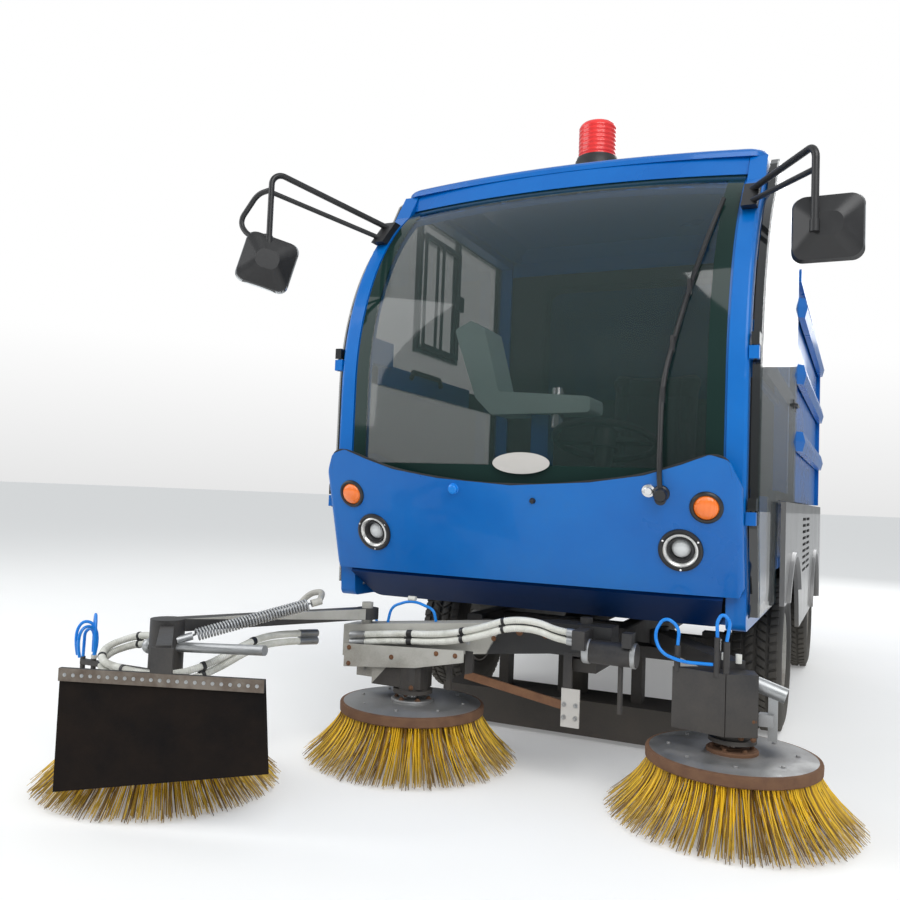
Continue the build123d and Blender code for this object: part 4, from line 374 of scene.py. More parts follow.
# Lamp glass with fine ribs
lenses = {
    # name: colour, second colour, roughness, rib scale, emission
    "lensOrange": ((0.85, 0.13, 0.01), (0.95, 0.24, 0.02), 0.16, 90, 0.12),
    "lensRed": ((0.55, 0.012, 0.008), (0.75, 0.02, 0.012), 0.2, 60, 0.08),
    "beaconRed": ((0.78, 0.008, 0.008), (0.9, 0.016, 0.012), 0.3, 4, 0.04),
    "lensClear": ((0.6, 0.62, 0.62), (0.78, 0.8, 0.8), 0.1, 110, 0.05),
}
for lensName, (colour, second, rough, ribScale, glow) in lenses.items():
    material, tree, shader = newMaterial(lensName)
    coords = objectCoords(tree)
    wave = waveNode(tree, coords, ribScale, 0.4)
    base = mixColours(tree, wave, colour, second)
    tree.links.new(base, shader.inputs["Base Color"])
    tree.links.new(base, shader.inputs["Emission Color"])
    shader.inputs["Emission Strength"].default_value = glow
    tree.links.new(rangeNode(tree, wave, 0, 1, rough, rough + 0.15), shader.inputs["Roughness"])
    addBump(tree, wave, 0.0006, shader)
    shader.inputs["Coat Weight"].default_value = 0.8
    materials[lensName] = material


# Woven seat cloth
material, tree, shader = newMaterial("seatCloth")
coords = objectCoords(tree)
weave = mathNode(tree, "MULTIPLY", waveNode(tree, coords, 190, 1.2, "X"),
                 waveNode(tree, coords, 190, 1.2, "Z"))
blotch = noiseNode(tree, coords, 9.0)
cloth = mixColours(tree, weave, (0.018, 0.019, 0.022), (0.05, 0.052, 0.058))
cloth = mixColours(tree, mathNode(tree, "MULTIPLY", blotch, 0.35), cloth, (0.08, 0.078, 0.075))
tree.links.new(cloth, shader.inputs["Base Color"])
addBump(tree, weave, 0.0008, shader)
tree.links.new(rangeNode(tree, blotch, 0.3, 0.7, 0.78, 0.95), shader.inputs["Roughness"])
shader.inputs["Sheen Weight"].default_value = 0.35
materials["seatCloth"] = material


# Bristles: every one gets its own shade, from yellow to worn brown, darker towards the dirty tips
material, tree, shader = newMaterial("bristle")
shade = tree.nodes.new("ShaderNodeAttribute")
shade.attribute_name = "shade"
bristleStops = (
    (0.0, (0.95, 0.62, 0.03)), (0.4, (0.8, 0.5, 0.02)), (0.62, (0.5, 0.3, 0.03)), (0.82, (0.24, 0.13, 0.03)),
    (1.0, (0.09, 0.045, 0.02)),
)
ramp = rampNode(tree, bristleStops)
tree.links.new(shade.outputs["Fac"], ramp.inputs["Fac"])
masks = groupNode(tree, grimeTree, High=0.1, Scale=14.0, Amount=0.7)
tree.links.new(mixColours(tree, masks.outputs["Grime"], ramp.outputs["Color"], (0.13, 0.09, 0.05)),
               shader.inputs["Base Color"])
tree.links.new(rangeNode(tree, masks.outputs["Fine"], 0.3, 0.7, 0.42, 0.7), shader.inputs["Roughness"])
materials["bristle"] = material


# The middle arm's beam: pale to the right of the truck, black near its pivot, with a slanted edge between
material, tree, shader = newMaterial("beamSplit")
coords = objectCoords(tree)
split = tree.nodes.new("ShaderNodeSeparateXYZ")
tree.links.new(coords, split.inputs[0])
slant = mathNode(tree, "ADD", split.outputs["X"], mathNode(tree, "MULTIPLY", split.outputs["Z"], -0.55))
edgeNoise = mathNode(tree, "MULTIPLY", noiseNode(tree, coords, 60.0), 0.01)
slant = mathNode(tree, "ADD", slant, edgeNoise)
darkSide = rangeNode(tree, slant, -0.206, -0.2)
masks = groupNode(tree, grimeTree, High=0.45, Scale=9.0, Amount=0.8)
pale = mixColours(tree, masks.outputs["Blotch"], (0.52, 0.51, 0.47), (0.4, 0.39, 0.35))
pale = mixColours(tree, masks.outputs["Grime"], pale, (0.17, 0.14, 0.1))
dark = mixColours(tree, masks.outputs["Grime"], (0.02, 0.02, 0.021), (0.1, 0.085, 0.07))
tree.links.new(mixColours(tree, darkSide, pale, dark), shader.inputs["Base Color"])
tree.links.new(rangeNode(tree, masks.outputs["Fine"], 0.3, 0.7, 0.42, 0.62), shader.inputs["Roughness"])
relief = groupNode(tree, reliefTree, Scale=150.0, Depth=0.0002)
tree.links.new(relief.outputs["Normal"], shader.inputs["Normal"])
materials["beamSplit"] = material

# Ground: pale, dull, white to the camera where it is lit
material, tree, shader = newMaterial("ground")
coords = objectCoords(tree)
tree.links.new(mixColours(tree, noiseNode(tree, coords, 3.0), (0.8, 0.8, 0.79), (0.86, 0.86, 0.85)),
               shader.inputs["Base Color"])
shader.inputs["Roughness"].default_value = 0.9
shader.inputs["Emission Color"].default_value = (1, 1, 1, 1)
shader.inputs["Emission Strength"].default_value = 0.2
materials["ground"] = material
print("materials", len(materials))


# Floor
floorMesh = bpy.data.meshes.new("floor")
floorHalf = 400
floorCorners = [(x * floorHalf, y * floorHalf, 0) for x, y in ((-1, -1), (1, -1), (1, 1), (-1, 1))]
floorMesh.from_pydata(floorCorners, [], [(0, 1, 2, 3)])
floorMesh.materials.append(materials["ground"])
floor = newObject("floor", floorMesh)


# Finishes of the carried-over nodes; where faces differ, the first test that a face's middle passes decides
def always(x, y, z):
    return True


def armMiddleBeam(x, y, z):
    low = 322 + (x + 640) / 775 * 90
    return -26 < y < 66 and z > low - 1 and x < 336


def rightMirrorGlass(x, y, z):
    fromGlass = (x + 968) * math.sin(mirrorSwing) - (y + 146) * math.cos(mirrorSwing) + 15
    return abs(fromGlass) < 2.5 and z < 1840


mirrorSwing = 0.6458
nodeFinishes = {
    "chassis_frame": "blackSteel", "front_axle": "blackSteel", "rear_axle": "blackSteel",
    "engine_block": "blackSteel",
    "knuckle_left": "blackSteel", "knuckle_right": "blackSteel", "tilt_barrel": "blackSteel",
    "tilt_rod": "chrome",
    # the lower skirt takes the darkened blue, painted shade under the cab
    "cab_frame": "blueFrame", "cab_roof": "bluePaint", "nose_panel": "bluePaint", "lower_skirt": "bluePaintedShade",
    "cab_floor": "darkPlastic", "cab_rear_wall": "darkPlastic", "rear_window": "glassRear",
    "windscreen": "glassTint",
    "door_glass_left": "glassSide", "door_glass_right": "glassSide",
    "door_frame_left": "glassBlack", "door_frame_right": "glassBlack",
    "headlamps": "lensClear", "indicators": "lensOrange", "beacon_base": "blackPlastic",
    "beacon_lens": "lensRed",
    "hopper": "bluePaint", "hopper_rear_door": "bluePaint", "side_panel_left": "greyPaint",
    "side_panel_right": "greyPaint",
    "arm_left": "blackSteel", "arm_middle": "blackSteel", "arm_outer": "blackSteel", "flap": "flapRubber",
    "brush_left": "galvanised", "brush_middle": "galvanised", "brush_outer": "galvanised",
    "suction_nozzle": "blackSteel", "suction_hose": "rubber", "console": "greyPlastic",
    "seat_base": "darkPlastic",
    "seat": "seatCloth", "steering_column": "blackPlastic", "mirror_left": "blackPlastic",
    "mirror_right": "blackPlastic",
    "wiper": "blackPlastic", "rear_bumper": "blackSteel", "rear_lamps": "lensRed", "hose_beam": "hoseWhite",
    "hose_outer": "hoseWhite", "tube_left": "tubeBlue", "tube_middle": "tubeBlue", "tube_outer": "tubeBlue",
    "spring_outer": "galvanised",
}
for corner in ("front_left", "front_right", "rear_left", "rear_right"):
    nodeFinishes["tyre_" + corner] = "rubber"
    nodeFinishes["rim_" + corner] = "rimPaint"
faceFinishes = {
    "arm_middle": (("beamSplit", armMiddleBeam),
                   ("beamPale", lambda x, y, z: -575 < x < -440 and y < -24 and z < 359),
                   ("rustySteel", lambda x, y, z: -165 < x < 215 and z < 330 and y < 0 and x < 175),
                   ("stickerWhite", lambda x, y, z: 178 < x < 242 and y < -20 and z < 312)),
    "arm_outer": (("galvanised", lambda x, y, z: -674 < y < -626 and 385 < z < 460 and abs(x + 887) > 54),
                  ("beamPale", lambda x, y, z: z > 482 and y > -345 and y < -225 and x > -715 and x < -545),),
    "arm_left": (("galvanised", lambda x, y, z: x > 770 and y > -65 and z > 236),),
    "console": (("blueFrame", lambda x, y, z: z < 1235 and x > -185 and x < -30 and 440 < y < 600),),
    "headlamps": (("stickerWhite", always),),
    "mirror_left": (("mirrorGlass", lambda x, y, z: y > -12 and 1640 < z < 1818 and x > 846),),
    "mirror_right": (("mirrorGlass", rightMirrorGlass),),
}
for nodeName, finishName in nodeFinishes.items():
    node = nodes[nodeName]
    node.data.materials.clear()
    node.data.materials.append(materials[finishName])
    tests = faceFinishes.get(nodeName, ())
    for otherName, test in tests:
        node.data.materials.append(materials[otherName])
    for polygon in node.data.polygons:
        polygon.material_index = 0
        middle = (polygon.center - frameShift) * 1000
        for place, (otherName, test) in enumerate(tests):
            if test(*middle):
                polygon.material_index = place + 1
                break
print("nodes finished")


# Mesh forms: several bodies in one piece, each with its own finish
class Form:
    def __init__(self):
        self.verts, self.faces, self.finishes, self.names = [], [], [], []

    def add(self, verts, faces, finish, place=None):
        start = len(self.verts)
        place = place or Matrix.Identity(4)
        self.verts += [place @ Vector(v) for v in verts]
        self.faces += [tuple(start + i for i in face) for face in faces]
        if finish not in self.names:
            self.names.append(finish)
        self.finishes += [self.names.index(finish)] * len(faces)

    def block(self, size, finish, place=None, bevel=0.0015):
        hx, hy, hz = (s / 2 for s in size)
        b = min(bevel, hx * 0.8, hy * 0.8, hz * 0.8)
        shape = bmesh.new()
        for sx in (-1, 1):
            for sy in (-1, 1):
                for sz in (-1, 1):
                    shape.verts.new((sx * (hx - b), sy * (hy - b), sz * hz))
                    shape.verts.new((sx * (hx - b), sy * hy, sz * (hz - b)))
                    shape.verts.new((sx * hx, sy * (hy - b), sz * (hz - b)))
        bmesh.ops.convex_hull(shape, input=shape.verts)
        bmesh.ops.dissolve_limit(shape, angle_limit=0.01, verts=shape.verts, edges=shape.edges)
        shape.verts.index_update()
        self.add([v.co for v in shape.verts], [[v.index for v in f.verts] for f in shape.faces], finish,
                 place)
        shape.free()

    def lathe(self, profile, steps, finish, place=None, closed=False):
        rings = len(profile)
        verts = []
        for step in range(steps):
            angle = 2 * math.pi * step / steps
            verts += [(r * math.cos(angle), r * math.sin(angle), z) for r, z in profile]
        faces = []
        last = rings if closed else rings - 1
        for step in range(steps):
            here, there = step * rings, (step + 1) % steps * rings
            for i in range(last):
                j = (i + 1) % rings
                faces.append((here + i, there + i, there + j, here + j))
        if not closed:
            for i, flip in ((0, False), (rings - 1, True)):
                if profile[i][0] > 1e-6:
                    cap = [step * rings + i for step in range(steps)]
                    faces.append(cap if flip else cap[::-1])
        self.add(verts, faces, finish, place)

    def tube(self, points, radius, finish, sides=12, closed=False, squash=(1, 1)):
        points = [Vector(p) for p in points]
        count = len(points)
        normal = None
        verts, faces = [], []
        for i, point in enumerate(points):
            before = points[(i - 1) % count] if closed or i else points[0]
            after = points[(i + 1) % count] if closed or i < count - 1 else points[-1]
            along = (after - before).normalized()
            if normal is None:
                normal = along.orthogonal().normalized()
                if abs(along.z) < 0.9:
                    normal = along.cross(Vector((0, 0, 1))).normalized()
            normal = (normal - along * normal.dot(along)).normalized()
            side = along.cross(normal)
            size = radius(i / (count - 1)) if callable(radius) else radius
            for k in range(sides):
                angle = 2 * math.pi * k / sides
                offset = normal * math.cos(angle) * squash[0] + side * math.sin(angle) * squash[1]
                verts.append(point + offset * size)
        for i in range(count if closed else count - 1):
            j = (i + 1) % count
            for k in range(sides):
                m = (k + 1) % sides
                faces.append((i * sides + k, i * sides + m, j * sides + m, j * sides + k))
        if not closed:
            faces.append(tuple(range(sides))[::-1])
            faces.append(tuple((count - 1) * sides + k for k in range(sides)))
        self.add(verts, faces, finish)

    def plate(self, outline, thickness, finish, place=None):
        n = len(outline)
        verts = [(x, y, 0) for x, y in outline] + [(x, y, thickness) for x, y in outline]
        faces = [tuple(range(n))[::-1], tuple(range(n, 2 * n))]
        faces += [(i, (i + 1) % n, n + (i + 1) % n, n + i) for i in range(n)]
        self.add(verts, faces, finish, place)

    def mesh(self, mesh, finish, place=None):
        self.add([v.co for v in mesh.vertices], [tuple(p.vertices) for p in mesh.polygons], finish, place)

    def make(self, name, body, sharp=35, replaces=()):
        mesh = bpy.data.meshes.new(name)
        mesh.from_pydata([tuple(v) for v in self.verts], [], self.faces)
        for finish in self.names:
            mesh.materials.append(materials[finish])
        mesh.polygons.foreach_set("material_index", self.finishes)
        clean = bmesh.new()
        clean.from_mesh(mesh)
        bmesh.ops.remove_doubles(clean, verts=clean.verts, dist=1e-6)
        bmesh.ops.recalc_face_normals(clean, faces=clean.faces)
        clean.to_mesh(mesh)
        clean.free()
        mesh.polygons.foreach_set("use_smooth", [True] * len(mesh.polygons))
        mesh.set_sharp_from_angle(angle=math.radians(sharp))
        piece = newObject(name, mesh)
        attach(piece, body)
        if replaces:
            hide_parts(*replaces)
        return piece


def turned(axis, degrees):
    return Matrix.Rotation(math.radians(degrees), 4, axis)


def moved(place):
    return Matrix.Translation(place)


def towards(start, end):
    return (Vector(end) - Vector(start)).to_track_quat("Z", "Y").to_matrix().to_4x4()


def boltHead(form, place, size=0.008, height=0.006, finish="galvanised"):
    profile = [(0.0, height), (size * 0.45, height), (size * 0.58, height * 0.8), (size * 0.6, 0.0)]
    form.lathe([(size * 0.95, -0.001), (size * 0.95, 0.0012), (size * 0.6, 0.0014)][::-1], 14, finish, place)
    form.lathe(profile, 6, finish, place)


# One Geometry Nodes tree repeats a form along a path: bristles, tread, hose ribs
repeatTree = bpy.data.node_groups.new("repeatAlong", "GeometryNodeTree")
repeatInputs = (
    ("Path", "NodeSocketGeometry"), ("Piece", "NodeSocketObject"), ("Pitch", "NodeSocketFloat"),
    ("Lean", "NodeSocketVector"), ("Grow", "NodeSocketFloat"), ("Seed", "NodeSocketInt"),
    ("Finish", "NodeSocketMaterial"),
)
for label, kind in repeatInputs:
    repeatTree.interface.new_socket(label, in_out="INPUT", socket_type=kind)
repeatTree.interface.new_socket("Geometry", in_out="OUTPUT", socket_type="NodeSocketGeometry")


def geoNode(kind, **settings):
    node = repeatTree.nodes.new(kind)
    for label, value in settings.items():
        setattr(node, label, value)
    return node


repeatIn = geoNode("NodeGroupInput")
repeatOut = geoNode("NodeGroupOutput")
toCurve = geoNode("GeometryNodeMeshToCurve")
upNormals = geoNode("GeometryNodeSetCurveNormal", mode="Z_UP")
toPoints = geoNode("GeometryNodeCurveToPoints", mode="LENGTH")
pieceInfo = geoNode("GeometryNodeObjectInfo")
randomLean = geoNode("FunctionNodeRandomValue", data_type="FLOAT_VECTOR")
randomGrow = geoNode("FunctionNodeRandomValue", data_type="FLOAT")
randomShade = geoNode("FunctionNodeRandomValue", data_type="FLOAT")
negative = geoNode("ShaderNodeVectorMath", operation="SCALE")
negative.inputs["Scale"].default_value = -1
growLow = geoNode("ShaderNodeMath", operation="SUBTRACT")
growLow.inputs[0].default_value = 1
growHigh = geoNode("ShaderNodeMath", operation="ADD")
growHigh.inputs[0].default_value = 1
turnPiece = geoNode("FunctionNodeRotateRotation", rotation_space="LOCAL")
setPieces = geoNode("GeometryNodeInstanceOnPoints")
storeShade = geoNode("GeometryNodeStoreNamedAttribute", data_type="FLOAT", domain="INSTANCE")
storeShade.inputs["Name"].default_value = "shade"
realize = geoNode("GeometryNodeRealizeInstances")
setFinish = geoNode("GeometryNodeSetMaterial")
for fromNode, fromSocket, toNode, toSocket in (
    (repeatIn, "Path", toCurve, "Mesh"), (toCurve, "Curve", upNormals, "Curve"),
    (upNormals, "Curve", toPoints, "Curve"),
    (repeatIn, "Pitch", toPoints, "Length"), (repeatIn, "Piece", pieceInfo, "Object"),
    (repeatIn, "Lean", randomLean, 1), (repeatIn, "Lean", negative, 0), (negative, 0, randomLean, 0),
    (repeatIn, "Grow", growLow, 1), (repeatIn, "Grow", growHigh, 1), (growLow, 0, randomGrow, 2),
    (growHigh, 0, randomGrow, 3),
    (repeatIn, "Seed", randomLean, "Seed"), (repeatIn, "Seed", randomGrow, "Seed"),
    (repeatIn, "Seed", randomShade, "Seed"),
    (toPoints, "Rotation", turnPiece, "Rotation"), (randomLean, 0, turnPiece, 1),
    (toPoints, "Points", setPieces, "Points"), (pieceInfo, "Geometry", setPieces, "Instance"),
    (turnPiece, 0, setPieces, "Rotation"), (randomGrow, 1, setPieces, "Scale"),
    (setPieces, 0, storeShade, "Geometry"), (randomShade, 1, storeShade, "Value"),
    (storeShade, 0, realize, 0), (realize, 0, setFinish, "Geometry"),
    (repeatIn, "Finish", setFinish, "Material"),
    (setFinish, 0, repeatOut, 0),
):
    repeatTree.links.new(fromNode.outputs[fromSocket], toNode.inputs[toSocket])
repeatItems = repeatTree.interface.items_tree
repeatSockets = {item.name: item.identifier for item in repeatItems if item.in_out == "INPUT"}


def formObject(verts, faces):
    mesh = bpy.data.meshes.new("form")
    mesh.from_pydata([tuple(v) for v in verts], [], faces)
    return bpy.data.objects.new("form", mesh)


def repeatAlong(paths, piece, pitch, finish, lean=(0, 0, 0), grow=0.0, seed=1, closed=False):
    verts, edges = [], []
    for path in paths:
        start = len(verts)
        verts += [tuple(p) for p in path]
        edges += [(start + i, start + i + 1) for i in range(len(path) - 1)]
        if closed:
            edges.append((start + len(path) - 1, start))
    mesh = bpy.data.meshes.new("path")
    mesh.from_pydata(verts, edges, [])
    path = newObject("path", mesh)
    modifier = path.modifiers.new("repeat", "NODES")
    modifier.node_group = repeatTree
    for label, value in (("Piece", piece), ("Pitch", pitch), ("Lean", lean), ("Grow", grow), ("Seed", seed),
                         ("Finish", materials[finish])):
        modifier[repeatSockets[label]] = value
    bpy.context.view_layer.update()
    made = evaluatedMesh(path)
    bpy.data.objects.remove(path)
    return made


def circlePath(radius, z, steps=120):
    return [(radius * math.cos(2 * math.pi * i / steps), radius * math.sin(2 * math.pi * i / steps),
             z) for i in range(steps)]


def splinePoints(points):
    curve = bpy.data.curves.new("route", "CURVE")
    curve.dimensions = "3D"
    curve.resolution_u = 10
    spline = curve.splines.new("NURBS")
    spline.points.add(len(points) - 1)
    for place, point in enumerate(points):
        spline.points[place].co = (*point, 1)
    spline.order_u = 3
    spline.use_endpoint_u = True
    route = newObject("route", curve)
    bpy.context.view_layer.update()
    found = [v.co.copy() for v in evaluatedMesh(route).vertices]
    bpy.data.objects.remove(route)
    return found


# Brushes: a galvanised disc with a rusty rim and bolted hub, and rings of splayed bristles
brush = {
    "discRadius": 0.248, "discTop": 0.196, "hubRadius": 0.074, "boltCircle": 0.056, "outerBolts": 8,
    "rings": (0.15, 0.168, 0.186, 0.204, 0.219, 0.23), "pitch": 0.0064, "splay": 0.126, "drop": 0.174,
    "thickness": 0.0046,
}
brushes = (("left", (705, -40)), ("middle", (-360, -10)), ("outer", (-887, -650)))
bristleVerts, bristleFaces = [], []
for i in range(6):
    share = i / 5
    out = brush["splay"] * (share ** 1.35)
    down = brush["drop"] * (share ** 0.88)
    wide = brush["thickness"] * (1 - 0.45 * share)
    for k in range(3):
        angle = 2 * math.pi * k / 3
        bristleVerts.append((out + wide / 2 * math.cos(angle), down, wide / 2 * math.sin(angle)))
for i in range(5):
    for k in range(3):
        m = (k + 1) % 3
        bristleFaces.append((i * 3 + k, i * 3 + m, i * 3 + 3 + m, i * 3 + 3 + k))
bristleFaces.append((15, 16, 17))
bristleForm = formObject(bristleVerts, bristleFaces)
for brushIndex, (brushName, (brushX, brushY)) in enumerate(brushes):
    middle = at(brushX, brushY, 0)
    body = "brush_" + brushName
    paths = [circlePath(r, brush["discTop"] - 0.012) for r in brush["rings"]]
    bristles = repeatAlong(paths, bristleForm, brush["pitch"], "bristle", (0.12, 0.07, 0.07), 0.02,
                           11 + brushIndex, True)
    bristles.transform(moved(middle))
    bristlePiece = newObject("bristles_" + brushName, bristles)
    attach(bristlePiece, body)
    disc = Form()
    top, edge = brush["discTop"], brush["discRadius"]
    disc.lathe(
        [(0.0, top), (0.1, top), (0.105, top + 0.003), (0.2, top + 0.003), (0.206, top),
         (edge - 0.012, top - 0.001)],
        72, "galvanised", moved(middle),
    )
    disc.lathe([(edge - 0.012, top - 0.001), (edge - 0.002, top - 0.003), (edge, top - 0.008),
                (edge - 0.001, top - 0.03),
                (edge - 0.006, top - 0.034), (edge - 0.012, top - 0.03)], 72, "rustySteel", moved(middle))
    disc.lathe([(edge - 0.012, top - 0.02), (0.12, top - 0.024), (0.0, top - 0.024)], 72, "blackSteel",
               moved(middle))
    disc.lathe([(0.12, top - 0.02), (0.13, top - 0.075), (0.118, top - 0.08), (0.0, top - 0.08)], 48,
               "blackSteel", moved(middle))
    hub = brush["hubRadius"]
    disc.lathe([(0.0, top + 0.014), (0.03, top + 0.014), (0.034, top + 0.01), (hub - 0.003, top + 0.01),
                (hub, top + 0.007), (hub, top - 0.001)],
               48, "rustySteel" if brushName == "left" else "galvanised", moved(middle))
    disc.lathe([(0.02, top + 0.08), (0.02, top)], 24, "chrome", moved(middle))
    for i in range(6):
        boltHead(disc, moved(middle + Vector((0, 0, top + 0.01))) @ turned("Z",
            60 * i + 15) @ moved((brush["boltCircle"], 0, 0)), 0.011, 0.008, "rustySteel")
    for i in range(brush["outerBolts"]):
        boltHead(disc, moved(middle + Vector((0, 0, top + 0.002))) @ turned("Z",
            45 * i + 10) @ moved((0.18, 0, 0)), 0.01, 0.006)
    disc.make("brushDisc_" + brushName, body, replaces=(body,))
print("brushes")


# Tyres: a carcass with ribbed shoulders and four rows of tread blocks
tyre = {"radius": 310, "groove": 0.3, "rows": ((-0.066, 0.03), (-0.0225, 0.032), (0.0225, 0.032),
                                               (0.066, 0.03)), "pitch": 0.0335}
wheels = (("front_left", 670, 1150, 1), ("front_right", -670, 1150, -1), ("rear_left", 670, 2850, 1),
          ("rear_right", -670, 2850, -1))
for wheelName, wheelX, wheelY, side in wheels:
    body = "wheel_" + wheelName
    place = moved(at(wheelX, wheelY, tyre["radius"])) @ turned("Y", 90 * side)
    form = Form()
    half = [(0.1765, 0.066), (0.18, 0.078), (0.192, 0.086), (0.2, 0.0865), (0.204, 0.09), (0.235, 0.0945),
            (0.238, 0.0935),
            (0.243, 0.0935), (0.246, 0.0945), (0.268, 0.0925), (0.285, 0.087), (0.297, 0.08), (0.301, 0.072),
            (0.301, 0.03)]
    profile = half + [(r, -z) for r, z in half[::-1]]
    form.lathe(profile, 96, "rubber", place, closed=True)
    for row, (rowZ, width) in enumerate(tyre["rows"]):
        blockVerts = []
        hw, long = width / 2, tyre["pitch"] * 0.36
        skew = 0.004 if row in (0, 3) else 0.009 * (1 if row == 1 else -1)
        for out, shrink in ((-0.006, 0.0), (0.0078, 0.0), (0.009, 0.0015)):
            for sy, sz in ((-1, -1), (1, -1), (1, 1), (-1, 1)):
                drop = 0.0035 if (row == 0 and sy > 0) or (row == 3 and sy < 0) else 0.0
                blockVerts.append((out - (drop if out > 0 else 0), sy * (hw - shrink),
                                   sz * (long - shrink) + sy * skew))
        blockFaces = [(8, 9, 10, 11)] + [(a * 4 + k, a * 4 + (k + 1) % 4, a * 4 + 4 + (k + 1) % 4,
                                          a * 4 + 4 + k) for a in (0, 1) for k in range(4)]
        blockForm = formObject(blockVerts, blockFaces)
        phase = turned("Z", 1.7 * row)
        tread = repeatAlong([circlePath(tyre["groove"], rowZ, 180)], blockForm, tyre["pitch"], "rubber",
                            closed=True)
        form.mesh(tread, "rubber", place @ phase)
    form.make("tyre_dressed_" + wheelName, body, 40, replaces=("tyre_" + wheelName,))
print("tyres")


# Lamps: each sits square to the bowed, leaning nose
noseBow = 8.655
noseLean = math.atan2(100, 330)


def noseFront(x, z):
    return -0.038 - (z - 0.795) * 0.30303 + noseBow - math.sqrt(noseBow ** 2 - x ** 2)


def nosePlace(x, z):
    swing = math.asin(x / noseBow)
    normal = Vector((math.sin(swing), -math.cos(swing) * math.cos(noseLean),
                     -math.cos(swing) * math.sin(noseLean)))
    across = Vector((math.cos(swing), math.sin(swing), 0))
    up = normal.cross(across)
    turn = Matrix((across, up, normal)).transposed().to_4x4()
    return moved(Vector((x, noseFront(x, z), z)) + frameShift) @ turn


headlamp = {"x": 0.538, "z": 0.767}
headlampForm = Form()
for side in (-1, 1):
    place = nosePlace(side * headlamp["x"], headlamp["z"])
    headlampForm.lathe([(0.064, -0.012), (0.068, 0.002), (0.066, 0.007), (0.06, 0.009), (0.054, 0.006),
                        (0.052, -0.004)],
                64, "blackPlastic", place, closed=True)
    headlampForm.lathe([(0.0535, 0.0), (0.053, 0.007), (0.049, 0.009), (0.045, 0.006), (0.041, -0.006),
                        (0.0535, -0.012)],
                64, "lampSilver", place, closed=True)
    headlampForm.lathe([(0.041, -0.004), (0.04, 0.001), (0.036, 0.001), (0.029, -0.014), (0.041, -0.016)],
                       48, "blackPlastic", place, closed=True)
    headlampForm.lathe([(0.0, 0.0), (0.01, -0.001), (0.02, -0.005), (0.027, -0.012), (0.029, -0.018)], 48,
                       "lensClear", place)
    for i in range(3):
        boltHead(headlampForm, place @ turned("Z", 120 * i + 30) @ moved((0.061, 0, 0.008)), 0.0035, 0.002,
                 "chrome")
headlampForm.make("headlampsDressed", "chassis", replaces=("headlamps",))
signals = Form()
for side in (-1, 1):
    place = nosePlace(side * 0.617, 0.9)
    signals.lathe([(0.044, -0.008), (0.05, 0.0), (0.049, 0.004), (0.045, 0.007), (0.0385, 0.006),
                   (0.038, -0.008)],
                  56, "blackPlastic", place, closed=True)
    signals.lathe([(0.0, 0.017), (0.012, 0.0165), (0.024, 0.014), (0.033, 0.009), (0.0375, 0.002),
                   (0.0385, -0.006)],
                  48, "lensOrange", place)
signals.make("indicatorsDressed", "chassis", replaces=("indicators",))
print("lamps")

# Nose trims: a rubber seal on its top edge, the washer's cap and jet, the wiper's washer;
# and a blank oval on the screen
edgePoints = ((0.692, 0.985), (0.688, 1.03), (0.66, 1.052), (0.625, 1.052), (0.585, 1.04), (0.545, 1.025),
              (0.435, 0.991),
              (0.35, 0.976), (0.265, 0.965), (0.13, 0.95), (0.0, 0.948))
edge = [(-x, z) for x, z in edgePoints] + [(x, z) for x, z in edgePoints[-2::-1]]
seal = Form()
seal.tube(splinePoints([Vector((x, noseFront(x, z) + 0.004, z + 0.002)) + frameShift for x, z in edge]),
          0.0045, "blackPlastic", 8)
noseBits = (
    # place on the nose, profile, steps, finish
    (-0.205, 0.93, [(0.0, 0.014), (0.012, 0.0135), (0.016, 0.01), (0.0165, 0.001), (0.019, 0.0),
                    (0.019, -0.003)], 32, "tubeBlue"),
    (0.075, 0.9, [(0.0, 0.013), (0.006, 0.012), (0.009, 0.007), (0.01, 0.0), (0.015, -0.001)], 24,
     "blackPlastic"),
    (0.448, 0.945, [(0.0, 0.012), (0.011, 0.011), (0.013, 0.006), (0.02, 0.004), (0.022, -0.001)], 28,
     "chrome"),
    (0.486, 0.938, [(0.0, 0.034), (0.017, 0.033), (0.02, 0.029), (0.021, 0.012), (0.025, 0.008),
                    (0.026, -0.001)], 28, "blackPlastic"),
)
for x, z, profile, steps, finish in noseBits:
    seal.lathe(profile, steps, finish, nosePlace(x, z))
seal.make("noseTrims", "chassis")
badge = Form()
spots = [(0.1 * math.cos(a / 40 * 2 * math.pi), 0.036 * math.sin(a / 40 * 2 * math.pi)) for a in range(40)]
badge.plate(spots, 0.0012, "stickerWhite", moved(at(20, -44, 1022)) @ turned("X", 84))
badge.make("screenSticker", "chassis")

# Wiper: a blade of rubber on the glass side of the arm, with its carriers
blade = Form()
bladeRoute = splinePoints([at(484, -92, 1060), at(478, -66, 1262), at(500, -34, 1400), at(540, 18, 1600),
                           at(580, 96, 1780)])
blade.tube(bladeRoute, 0.006, "blackPlastic", 8, squash=(0.5, 1.5))
for share in (0.2, 0.5, 0.8):
    spot = bladeRoute[int(share * (len(bladeRoute) - 1))]
    blade.block((0.012, 0.02, 0.05), "blackSteel", moved(spot))
blade.make("wiperBlade", "chassis")
print("nose trims")

